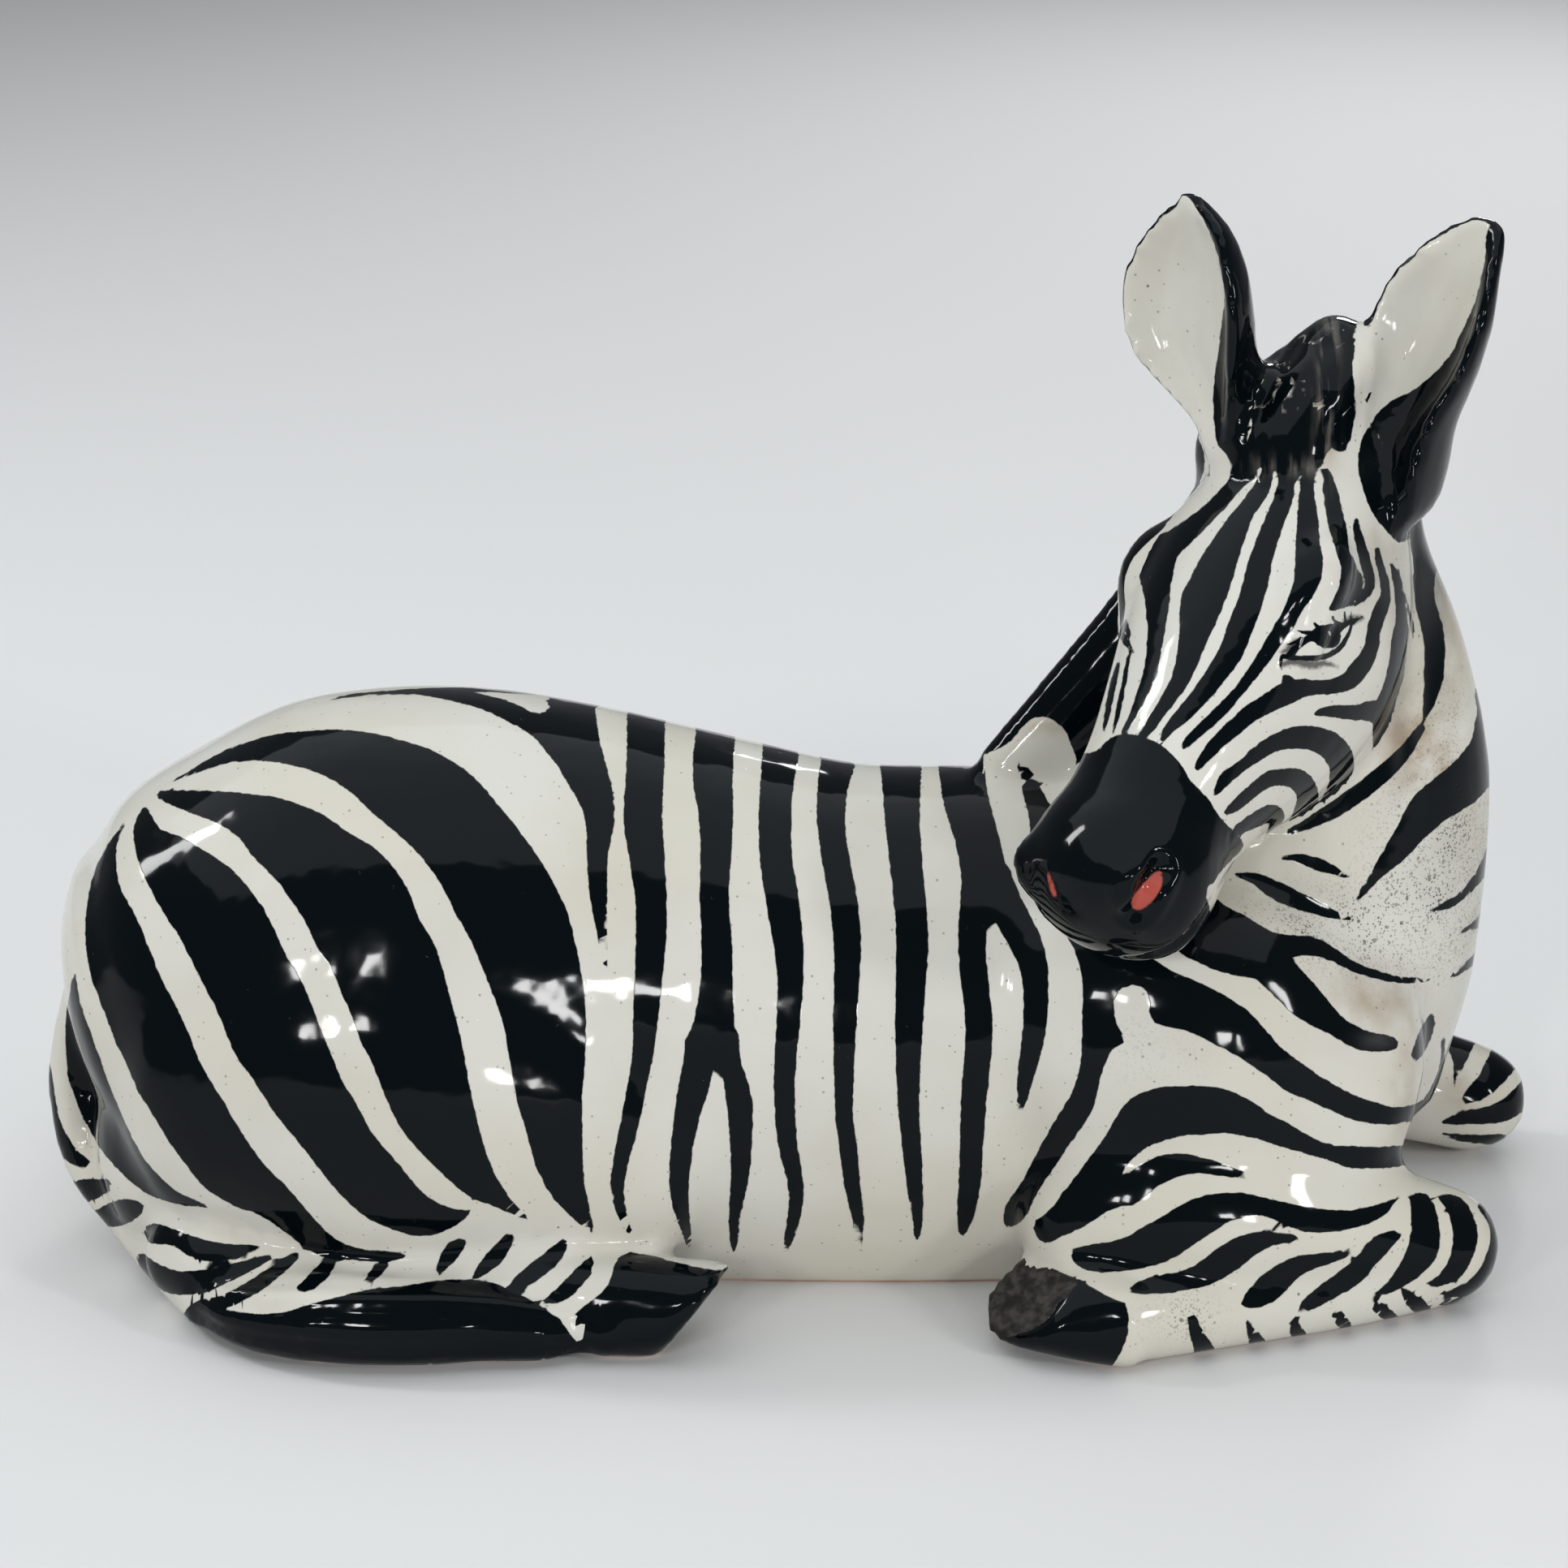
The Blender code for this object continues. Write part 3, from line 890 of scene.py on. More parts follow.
@dataclass(frozen=True)
class Carving:
    """Presses soft grooves into a skin along lines, with one Geometry Nodes tree for every kind of groove.

    A groove is deepest on its line and fades out at its width. A negative depth raises a ridge.
    """

    name: str
    width: float
    depth: float

    TREE = "pressed_lines"

    @classmethod
    def tree(cls) -> bpy.types.NodeTree:
        """Builds the tree once: each point near a line is moved back along its own normal.

        Returns:
            The tree.
        """
        found = bpy.data.node_groups.get(cls.TREE)
        if found:
            return found
        tree = bpy.data.node_groups.new(cls.TREE, "GeometryNodeTree")
        board = Board(tree)
        board.takes("NodeSocketGeometry", "Skin")
        board.takes("NodeSocketObject", "Lines")
        board.takes("NodeSocketFloat", "Width", "Depth")
        board.takes("NodeSocketMaterial", "Finish")
        board.gives("NodeSocketGeometry", "Skin")
        given = board.node("NodeGroupInput").outputs
        lines = board.node("GeometryNodeObjectInfo", {"Object": given["Lines"]}, transform_space="ORIGINAL")
        near = board.node("GeometryNodeProximity", {0: lines.outputs["Geometry"]}, target_element="EDGES")
        share = board.maths("DIVIDE", near.outputs["Distance"], given["Width"])
        inside = board.less(1.0, board.maths("POWER", share, 2.0))
        inside.node.use_clamp = True
        depth = board.times(board.maths("POWER", inside, 2.0), given["Depth"])
        normal = board.node("GeometryNodeInputNormal").outputs[0]
        inward = {0: normal, "Scale": board.times(depth, -1.0)}
        step = board.node("ShaderNodeVectorMath", inward, operation="SCALE").outputs["Vector"]
        skin = board.node("GeometryNodeSetPosition", {"Geometry": given["Skin"], "Offset": step})
        skin = board.node("GeometryNodeRealizeInstances", {0: skin.outputs["Geometry"]})
        dressed = {"Geometry": skin.outputs["Geometry"], "Material": given["Finish"]}
        skin = board.node("GeometryNodeSetMaterial", dressed)
        board.node("NodeGroupOutput", {"Skin": skin.outputs["Geometry"]})
        return tree

    def press(self, skin: Form, paths: Sequence[np.ndarray], finish: bpy.types.Material) -> None:
        """Carves one kind of groove.

        Args:
            skin: The figure.
            paths: The lines to follow, in drawn millimetres.
            finish: The material that the skin keeps.
        """
        points: list[tuple[float, ...]] = []
        edges: list[tuple[int, int]] = []
        for path in paths:
            first = len(points)
            points += [tuple(p) for p in np.asarray(path) * MM]
            edges += [(k, k + 1) for k in range(first, len(points) - 1)]
        mesh = bpy.data.meshes.new(self.name)
        mesh.from_pydata(points, edges, [])
        lines = linked(self.name, mesh)
        tree = self.tree()
        modifier = skin.modifiers.new(self.name, "NODES")
        modifier.node_group = tree
        values = {"Lines": lines, "Width": self.width * MM, "Depth": self.depth * MM, "Finish": finish}
        for item in tree.interface.items_tree:
            if item.in_out == "INPUT" and item.name in values:
                modifier[item.identifier] = values[item.name]
        settled(skin)
        bpy.data.objects.remove(lines)


# Painting


@dataclass(frozen=True)
class Viewpoint:
    """The photograph's camera: it looks at a place over the middle of the ground from in front and above.

    pixel is how many millimetres one of its pixels spans on the figure.
    """

    target: Row = (0.0, 0.0, 140.5)
    distance: float = 1250.0
    elevation: float = 21.0
    frame: int = 1932
    focal: float = 5319.0
    sensor: float = 36.0
    pixel: float = 0.235

    def towards(self) -> np.ndarray:
        """Gives the direction from the figure to the camera."""
        tilt = math.radians(self.elevation)
        return np.array([0.0, -math.cos(tilt), math.sin(tilt)])

    def pixels(self, places: np.ndarray) -> np.ndarray:
        """Throws places on to the photograph.

        Args:
            places: Drawn millimetres.

        Returns:
            Pixels.
        """
        c, s = math.cos(math.radians(self.elevation)), math.sin(math.radians(self.elevation))
        x, y, z = (places - np.array(self.target)).T
        depth = self.distance + y * c - z * s
        middle = self.frame / 2
        across = self.focal * x / depth
        up = self.focal * (z * c + y * s) / depth
        return np.stack([middle + across, middle - up], axis=1)


def beside(points: np.ndarray, start: np.ndarray, end: np.ndarray) -> tuple[np.ndarray, np.ndarray]:
    """Measures points against one straight stretch.

    Args:
        points: Pixels.
        start: Where the stretch begins.
        end: Where it ends.

    Returns:
        How far off each point lies, and its share of the way along the stretch.
    """
    run = end - start
    away = points - start
    share = np.clip(away @ run / max(float(run @ run), TINY), 0, 1)
    return np.hypot(away[:, 0] - share * run[0], away[:, 1] - share * run[1]), share


@dataclass(frozen=True)
class Stroke:
    """A brush stroke: places on its middle line and half its width there, in the photograph's pixels."""

    rows: Rows

    def gaps(self, points: np.ndarray) -> np.ndarray:
        """Measures points against the stroke.

        Args:
            points: Pixels.

        Returns:
            How far each lies outside, in pixels; inside is negative.
        """
        rows = smooth_rows(self.rows, 3)
        gap = np.full(len(points), np.inf)
        for a, b in zip(rows[:-1], rows[1:]):
            near, share = beside(points, a[:2], b[:2])
            gap = np.minimum(gap, near - a[2] - share * (b[2] - a[2]))
        return gap

    def box(self) -> tuple[np.ndarray, np.ndarray]:
        """Gives the stroke's lowest and highest pixel."""
        x, y, wide = np.array(self.rows, float).T
        return np.array([x.min(), y.min()]) - wide.max(), np.array([x.max(), y.max()]) + wide.max()


@dataclass(frozen=True)
class Patch:
    """A painted area: its outline in the photograph's pixels, read round in order."""

    outline: Rows
    soft: int = 3

    def gaps(self, points: np.ndarray) -> np.ndarray:
        """Measures points against the area.

        Args:
            points: Pixels.

        Returns:
            How far each lies outside, in pixels; inside is negative.
        """
        loop = smooth_rows(self.outline, self.soft, closed=True)
        gap = np.full(len(points), np.inf)
        inside = np.zeros(len(points), bool)
        x, y = points.T
        for a, b in zip(loop, np.roll(loop, -1, axis=0)):
            gap = np.minimum(gap, beside(points, a, b)[0])
            if a[1] != b[1]:
                between = (a[1] > y) != (b[1] > y)
                inside ^= between & (x < a[0] + (y - a[1]) * (b[0] - a[0]) / (b[1] - a[1]))
        return np.where(inside, -gap, gap)

    def box(self) -> tuple[np.ndarray, np.ndarray]:
        """Gives the area's lowest and highest pixel."""
        rows = np.array(self.outline, float)
        return rows.min(axis=0), rows.max(axis=0)


Mark = Stroke | Patch


def painted(points: np.ndarray, marks: Sequence[Mark]) -> np.ndarray:
    """Measures how far points lie outside a set of marks.

    Args:
        points: Pixels.
        marks: The strokes and areas that are painted.

    Returns:
        Distances in pixels, negative under paint, no larger than REACH.
    """
    gap = np.full(len(points), REACH)
    for mark in marks:
        low, high = mark.box()
        near = np.flatnonzero(((points > low - REACH) & (points < high + REACH)).all(axis=1))
        if len(near):
            gap[near] = np.minimum(gap[near], mark.gaps(points[near]))
    return np.maximum(gap, -REACH)


def strokes(*rows: Rows) -> tuple[Stroke, ...]:
    """Makes a stroke of each run of rows."""
    return tuple(Stroke(r) for r in rows)


def patches(*outlines: Rows) -> tuple[Patch, ...]:
    """Makes a painted area of each outline."""
    return tuple(Patch(r) for r in outlines)


RUMP_BANDS = patches(
    # The band over the croup, which comes down behind the last rib.
    ((402, 863), (446, 852), (497, 848), (555, 849), (593, 855), (625, 863), (644, 871), (658, 879),
     (672, 877), (677, 870), (670, 861), (680, 855), (733, 862), (733, 871), (740, 916), (753, 967),
     (756, 1018), (749, 1056), (748, 1107), (748, 1196), (743, 1193), (737, 1158), (727, 1107), (723, 1056),
     (721, 1008), (708, 980), (689, 948), (670, 922), (651, 903), (625, 889), (599, 876), (561, 865),
     (510, 856), (450, 857)),
    # The great band that ends behind the stifle.
    ((210, 964), (236, 948), (268, 929), (306, 914), (344, 904), (383, 900), (421, 899), (459, 903),
     (497, 913), (529, 923), (561, 940), (587, 960), (612, 989), (638, 1021), (663, 1056), (682, 1088),
     (698, 1120), (708, 1158), (716, 1196), (721, 1235), (722, 1273), (720, 1324), (717, 1362), (718, 1407),
     (720, 1453), (726, 1488), (734, 1521), (729, 1519), (700, 1496), (677, 1470), (660, 1436), (649, 1396),
     (638, 1362), (631, 1324), (625, 1292), (618, 1254), (606, 1222), (593, 1190), (580, 1158), (561, 1126),
     (548, 1098), (529, 1069), (510, 1046), (485, 1024), (459, 1002), (434, 978), (402, 957), (370, 946),
     (332, 938), (287, 939), (255, 948)),
    ((191, 980), (198, 974), (242, 974), (287, 976), (332, 981), (363, 989), (395, 1002), (427, 1024),
     (459, 1043), (485, 1069), (504, 1098), (517, 1133), (536, 1164), (548, 1203), (558, 1241), (568, 1279),
     (574, 1311), (580, 1343), (587, 1377), (600, 1424), (617, 1459), (636, 1485), (652, 1502), (640, 1500),
     (608, 1486), (585, 1478), (562, 1462), (540, 1442), (517, 1419), (494, 1390), (475, 1352), (459, 1311),
     (446, 1286), (434, 1254), (421, 1225), (408, 1193), (389, 1164), (376, 1136), (357, 1107), (338, 1082),
     (312, 1056), (293, 1031), (268, 1015), (236, 1002), (204, 989)),
    ((179, 992), (185, 1002), (198, 1021), (223, 1031), (255, 1050), (287, 1072), (306, 1094), (325, 1120),
     (338, 1145), (351, 1174), (370, 1206), (383, 1235), (395, 1267), (408, 1298), (421, 1330), (438, 1358),
     (459, 1396), (488, 1430), (511, 1459), (534, 1479), (557, 1489), (580, 1492), (568, 1505), (551, 1516),
     (528, 1523), (505, 1522), (482, 1514), (459, 1505), (436, 1488), (413, 1465), (390, 1436), (367, 1407),
     (344, 1379), (328, 1356), (312, 1330), (293, 1305), (281, 1279), (268, 1247), (255, 1222), (239, 1190),
     (223, 1158), (207, 1133), (191, 1107), (179, 1082), (169, 1056), (164, 1031), (167, 1011)),
    ((156, 1010), (153, 1018), (145, 1037), (143, 1062), (148, 1094), (166, 1126), (182, 1164), (198, 1203),
     (214, 1235), (230, 1267), (242, 1298), (255, 1324), (275, 1356), (298, 1396), (327, 1436), (356, 1465),
     (385, 1499), (408, 1522), (436, 1537), (471, 1541), (499, 1543), (501, 1548), (488, 1553), (459, 1555),
     (425, 1552), (402, 1550), (379, 1539), (356, 1522), (333, 1505), (310, 1493), (293, 1488), (270, 1476),
     (247, 1459), (230, 1436), (212, 1413), (198, 1390), (184, 1367), (169, 1343), (156, 1311), (143, 1286),
     (131, 1254), (121, 1228), (110, 1196), (105, 1158), (106, 1126), (110, 1098), (118, 1069), (131, 1043),
     (147, 1021)),
    ((92, 1196), (96, 1219), (99, 1235), (112, 1273), (124, 1305), (137, 1343), (155, 1384), (172, 1419),
     (195, 1448), (218, 1468), (241, 1479), (271, 1489), (252, 1488), (224, 1485), (195, 1477), (172, 1465),
     (149, 1445), (126, 1419), (109, 1390), (98, 1367), (90, 1345), (83, 1324), (81, 1260), (86, 1222)),
)

BARREL_BANDS = strokes(
    ((430, 846, 1.5), (480, 840, 3), (520, 838, 4), (560, 841, 3), (600, 848, 1.5)),
    ((796, 860, 24), (796, 880, 23.5), (795, 950, 23.5), (792, 1005, 24), (797, 1056, 22), (802, 1107, 19.5),
     (802, 1158, 19), (799, 1209, 17), (795, 1260, 15.5), (792, 1298, 13), (784, 1343, 12), (775, 1388, 11.5),
     (766, 1426, 10), (760, 1465, 8.5), (767, 1496, 6), (775, 1517, 3.5)),
    ((883, 880, 25), (882, 900, 24.5), (878, 954, 25), (882, 1002, 21.5), (882, 1056, 19), (880, 1107, 18),
     (883, 1158, 19), (883, 1209, 20), (880, 1260, 25), (877, 1285, 30)),
    ((866, 1285, 22), (862, 1308, 20), (852, 1350, 18), (843, 1394, 14.5), (837, 1445, 12.8),
     (838, 1480, 10.5), (844, 1510, 7), (849, 1533, 3.5)),
    ((892, 1280, 19), (900, 1312, 13.5), (910, 1350, 16), (913, 1394, 14.5), (912, 1445, 11.5),
     (906, 1490, 8), (905, 1525, 6), (905, 1540, 3)),
    ((966, 895, 24), (963, 920, 23), (957, 970, 20.5), (955, 1010, 20.5), (956, 1056, 20), (964, 1110, 20.5),
     (971, 1160, 18.5), (974, 1209, 16), (971, 1265, 14.5), (967, 1315, 13.5), (967, 1368, 12.5),
     (971, 1413, 12), (979, 1450, 10), (981, 1480, 9), (975, 1515, 7), (965, 1545, 3.5)),
    ((1038, 905, 23), (1035, 929, 22), (1026, 970, 19), (1024, 1012, 17.5), (1030, 1060, 17),
     (1040, 1115, 17.5), (1044, 1167, 17), (1043, 1215, 15.5), (1041, 1259, 14.5), (1040, 1320, 12.5),
     (1040, 1374, 11), (1046, 1420, 11), (1050, 1460, 10), (1057, 1500, 7.5), (1058, 1533, 4)),
    ((1110, 915, 27), (1110, 938, 26), (1111, 980, 23), (1112, 1012, 21.5), (1117, 1070, 20),
     (1122, 1120, 20), (1124, 1167, 20), (1122, 1215, 18.5), (1120, 1259, 17.5), (1119, 1320, 15),
     (1120, 1374, 13), (1124, 1420, 11.5), (1127, 1460, 10), (1130, 1495, 7.5), (1131, 1524, 4)),
    ((1183, 920, 29), (1184, 941, 28), (1190, 985, 28), (1203, 1030, 27), (1211, 1068, 28), (1215, 1092, 30)),
    ((1208, 1085, 24), (1203, 1112, 20), (1199, 1140, 18), (1198, 1175, 17), (1201, 1210, 17),
     (1206, 1255, 16.8), (1205, 1300, 16.8), (1200, 1351, 16), (1197, 1410, 14.5), (1195, 1456, 14),
     (1190, 1495, 11), (1186, 1518, 5)),
    ((1222, 1080, 24), (1235, 1108, 22), (1248, 1132, 21), (1263, 1160, 20), (1273, 1188, 17.5),
     (1276, 1215, 16), (1276, 1250, 15), (1272, 1285, 13.5), (1265, 1320, 11), (1260, 1350, 7),
     (1254, 1378, 2.5)),
)

SHOULDER_MARKS = patches(
    # From the withers, behind the muzzle, to the point of the elbow and along the forearm.
    ((1245, 933), (1256, 950), (1260, 977), (1267, 1004), (1270, 1030), (1276, 1060), (1285, 1095),
     (1300, 1130), (1323, 1169), (1334, 1212), (1333, 1255), (1332, 1303), (1323, 1341), (1309, 1365),
     (1295, 1389), (1276, 1423), (1259, 1456), (1242, 1480), (1236, 1499), (1240, 1512), (1249, 1511),
     (1264, 1499), (1278, 1470), (1300, 1437), (1323, 1403), (1345, 1370), (1352, 1346), (1359, 1317),
     (1371, 1293), (1383, 1286), (1386, 1277), (1376, 1262), (1373, 1245), (1373, 1230), (1380, 1219),
     (1395, 1214), (1410, 1219), (1417, 1232), (1416, 1245), (1422, 1260), (1438, 1265), (1462, 1270),
     (1491, 1284), (1515, 1296), (1539, 1310), (1563, 1328), (1587, 1345), (1610, 1355), (1639, 1368),
     (1663, 1379), (1687, 1384), (1711, 1386), (1730, 1383), (1750, 1378), (1768, 1350), (1779, 1316),
     (1780, 1278), (1776, 1278), (1774, 1314), (1760, 1346), (1747, 1359), (1720, 1364), (1697, 1359),
     (1673, 1351), (1649, 1339), (1625, 1325), (1601, 1308), (1577, 1289), (1558, 1267), (1534, 1243),
     (1505, 1224), (1477, 1210), (1448, 1198), (1424, 1184), (1412, 1171), (1400, 1140), (1370, 1090),
     (1330, 1040), (1300, 1000), (1285, 977), (1274, 954), (1260, 939)),
    # The band that forks over the chest.
    ((1430, 1110), (1490, 1104), (1508, 1115), (1530, 1126), (1553, 1140), (1570, 1149), (1588, 1152),
     (1611, 1153), (1633, 1160), (1651, 1173), (1673, 1187), (1695, 1195), (1718, 1202), (1740, 1204),
     (1763, 1203), (1760, 1209), (1736, 1212), (1713, 1210), (1687, 1204), (1664, 1196), (1646, 1187),
     (1629, 1180), (1611, 1178), (1593, 1180), (1602, 1193), (1620, 1213), (1637, 1233), (1655, 1254),
     (1673, 1265), (1691, 1272), (1713, 1276), (1725, 1286), (1716, 1294), (1701, 1296), (1682, 1295),
     (1663, 1289), (1639, 1275), (1610, 1260), (1591, 1248), (1567, 1224), (1548, 1207), (1534, 1204),
     (1505, 1198), (1477, 1186), (1453, 1174), (1441, 1160), (1425, 1135)),
    # The arch over the elbow, with its inner tongue.
    ((1273, 1513), (1276, 1504), (1292, 1492), (1309, 1470), (1328, 1446), (1347, 1420), (1362, 1399),
     (1376, 1375), (1390, 1356), (1405, 1347), (1429, 1339), (1453, 1338), (1481, 1338), (1510, 1342),
     (1529, 1350), (1548, 1360), (1563, 1372), (1582, 1381), (1601, 1392), (1620, 1403), (1644, 1411),
     (1668, 1412), (1697, 1413), (1720, 1412), (1740, 1410), (1753, 1408), (1753, 1430), (1735, 1435),
     (1711, 1439), (1682, 1440), (1658, 1438), (1644, 1432), (1620, 1425), (1596, 1418), (1572, 1411),
     (1548, 1403), (1529, 1399), (1510, 1396), (1486, 1398), (1462, 1399), (1443, 1403), (1419, 1411),
     (1400, 1423), (1388, 1437), (1383, 1450), (1395, 1442), (1410, 1432), (1429, 1424), (1448, 1421),
     (1467, 1423), (1491, 1428), (1515, 1437), (1536, 1446), (1549, 1451), (1534, 1452), (1510, 1450),
     (1486, 1446), (1462, 1447), (1443, 1454), (1424, 1463), (1410, 1475), (1395, 1485), (1381, 1487),
     (1366, 1492), (1347, 1504), (1328, 1516), (1309, 1523), (1292, 1532), (1283, 1530), (1276, 1521)),
    ((1319, 1542), (1323, 1538), (1347, 1533), (1371, 1529), (1390, 1523), (1405, 1513), (1419, 1506),
     (1443, 1492), (1467, 1478), (1496, 1471), (1524, 1469), (1548, 1473), (1577, 1480), (1606, 1486),
     (1634, 1490), (1663, 1491), (1687, 1487), (1711, 1479), (1730, 1469), (1720, 1480), (1706, 1497),
     (1687, 1508), (1663, 1514), (1634, 1519), (1606, 1517), (1587, 1511), (1563, 1500), (1543, 1498),
     (1520, 1503), (1496, 1517), (1472, 1533), (1448, 1549), (1424, 1559), (1395, 1565), (1366, 1568),
     (1343, 1566), (1328, 1559), (1320, 1551)),
    ((1389, 1588), (1405, 1578), (1429, 1571), (1453, 1567), (1477, 1556), (1500, 1538), (1524, 1524),
     (1548, 1518), (1572, 1517), (1591, 1521), (1601, 1528), (1598, 1533), (1582, 1532), (1563, 1537),
     (1543, 1549), (1524, 1565), (1505, 1576), (1486, 1585), (1462, 1590), (1429, 1594), (1400, 1594),
     (1390, 1591)),
    ((1529, 1607), (1534, 1595), (1548, 1578), (1563, 1565), (1582, 1554), (1596, 1548), (1620, 1545),
     (1644, 1542), (1663, 1537), (1675, 1534), (1668, 1542), (1653, 1552), (1634, 1559), (1615, 1565),
     (1601, 1573), (1587, 1588), (1572, 1602), (1553, 1611), (1536, 1611)),
    ((1598, 1614), (1610, 1597), (1634, 1578), (1658, 1561), (1677, 1542), (1694, 1523), (1711, 1517),
     (1729, 1517), (1725, 1525), (1711, 1542), (1694, 1559), (1682, 1576), (1665, 1588), (1649, 1597),
     (1630, 1607), (1615, 1615), (1603, 1617)),
    ((1688, 1597), (1701, 1588), (1716, 1571), (1728, 1552), (1737, 1528), (1739, 1504), (1737, 1480),
     (1741, 1470), (1749, 1469), (1759, 1473), (1771, 1494), (1774, 1518), (1773, 1542), (1761, 1561),
     (1744, 1576), (1725, 1588), (1706, 1595)),
    ((1749, 1585), (1761, 1579), (1778, 1566), (1787, 1547), (1790, 1523), (1786, 1499), (1775, 1480),
     (1771, 1471), (1797, 1474), (1811, 1489), (1820, 1513), (1819, 1537), (1809, 1561), (1795, 1578),
     (1778, 1584), (1754, 1587)),
    ((1766, 1590), (1783, 1590), (1807, 1580), (1821, 1566), (1831, 1547), (1836, 1528), (1833, 1506),
     (1821, 1489), (1826, 1482), (1842, 1505), (1856, 1533), (1850, 1562), (1834, 1590), (1807, 1598),
     (1787, 1598), (1771, 1595)),
) + strokes(
    ((1776, 1605, 3), (1792, 1607, 5.5), (1814, 1604, 5)),
    ((1765, 1250, 3), (1759, 1268, 8), (1752, 1285, 8), (1745, 1300, 6), (1743, 1307, 2)),
    ((1466, 1619, 4), (1471, 1632, 7), (1475, 1645, 9), (1483, 1662, 12), (1488, 1678, 15)),
    ((1538, 1628, 3), (1543, 1642, 7), (1550, 1656, 10), (1555, 1670, 12)),
    ((1591, 1625, 5), (1597, 1638, 8), (1604, 1654, 10)),
    ((1648, 1620, 7), (1655, 1630, 8), (1664, 1640, 5)),
    ((1694, 1607, 6), (1706, 1617, 8), (1720, 1627, 6)),
    ((1734, 1596, 6), (1746, 1607, 10), (1760, 1620, 7)),
)

HIND_MARKS = strokes(
    ((190, 1520, 13), (215, 1525, 10), (245, 1539, 13), (275, 1543, 11), (305, 1539, 5.5), (322, 1539, 3)),
    ((174, 1550, 6), (190, 1568, 12), (215, 1580, 15), (245, 1579, 14), (275, 1571, 11), (300, 1562, 8),
     (318, 1555, 6), (335, 1549, 2.5)),
    ((247, 1606, 5), (275, 1604, 8), (300, 1593, 9), (325, 1577, 9), (345, 1562, 8), (358, 1552, 7),
     (367, 1545, 4)),
    ((370, 1588, 5), (384, 1580, 9), (397, 1567, 10), (408, 1554, 7), (414, 1550, 4)),
    ((452, 1578, 4), (463, 1568, 7), (474, 1558, 5)),
    ((540, 1567, 4), (550, 1552, 9), (560, 1538, 10), (570, 1530, 5)),
    ((586, 1572, 4), (600, 1558, 9), (615, 1543, 10), (629, 1523, 6)),
    ((628, 1589, 5), (648, 1575, 10), (668, 1560, 11), (685, 1545, 10), (693, 1532, 6)),
    ((672, 1603, 4), (690, 1596, 9), (707, 1580, 10), (722, 1564, 9), (735, 1550, 6)),
)

TAIL_MARKS = strokes(
    ((60, 1308, 2), (60, 1350, 8), (67, 1385, 8), (78, 1410, 10), (92, 1427, 9), (107, 1434, 6)),
    ((84, 1462, 6), (105, 1467, 14), (128, 1461, 9)),
    ((117, 1499, 6), (135, 1498, 14), (155, 1492, 15), (170, 1488, 8)),
)

NECK_MARKS = patches(
    # Round the throat behind the cheek.
    ((1742, 630), (1744, 661), (1741, 679), (1736, 697), (1734, 709), (1737, 724), (1741, 738), (1745, 752),
     (1750, 768), (1754, 790), (1755, 813), (1754, 843), (1753, 884), (1751, 897), (1757, 886), (1764, 874),
     (1772, 857), (1778, 838), (1780, 823), (1781, 806), (1780, 791), (1778, 772), (1773, 756), (1769, 741),
     (1767, 727), (1769, 709), (1773, 695), (1778, 679), (1772, 640)),
    # The broad stroke from the front of the neck down behind the jaw.
    ((1664, 1114), (1687, 1079), (1704, 1048), (1720, 1021), (1731, 999), (1742, 981), (1762, 963),
     (1789, 941), (1812, 914), (1818, 887), (1820, 870), (1817, 850), (1835, 850), (1860, 930), (1850, 965),
     (1843, 963), (1836, 968), (1820, 986), (1798, 1001), (1780, 1012), (1758, 1030), (1745, 1044),
     (1727, 1062), (1704, 1080), (1682, 1102)),
    ((1756, 1130), (1762, 1122), (1785, 1108), (1803, 1095), (1818, 1075), (1829, 1053), (1836, 1030),
     (1850, 1025), (1852, 1060), (1838, 1071), (1825, 1086), (1812, 1100), (1798, 1113), (1780, 1122)),
    ((1798, 1152), (1807, 1142), (1820, 1131), (1830, 1115), (1845, 1110), (1840, 1132), (1816, 1146)),
) + strokes(
    ((1783, 1204, 2), (1798, 1197, 4), (1814, 1184, 5), (1826, 1172, 5)),
    ((1580, 1057, 2), (1600, 1057, 5), (1620, 1064, 8), (1640, 1071, 6), (1662, 1081, 1.5)),
    ((1522, 1078, 2), (1545, 1082, 7), (1570, 1096, 11), (1595, 1108, 11), (1620, 1118, 9), (1645, 1127, 5),
     (1676, 1134, 1.5)),
    # Hidden by the head, and seen on the far side of the neck.
    ((1751, 897, 5), (1728, 930, 9), (1690, 965, 11), (1640, 1000, 10), (1590, 1025, 4)),
    ((1760, 640, 10), (1725, 700, 14), (1690, 760, 15), (1650, 830, 15), (1590, 900, 13), (1530, 950, 9),
     (1480, 985, 3)),
    ((1690, 590, 8), (1650, 660, 13), (1600, 740, 15), (1540, 830, 15), (1480, 900, 12), (1420, 950, 5)),
    ((1600, 560, 7), (1570, 620, 12), (1520, 700, 14), (1470, 780, 14), (1420, 850, 12), (1370, 900, 5)),
)

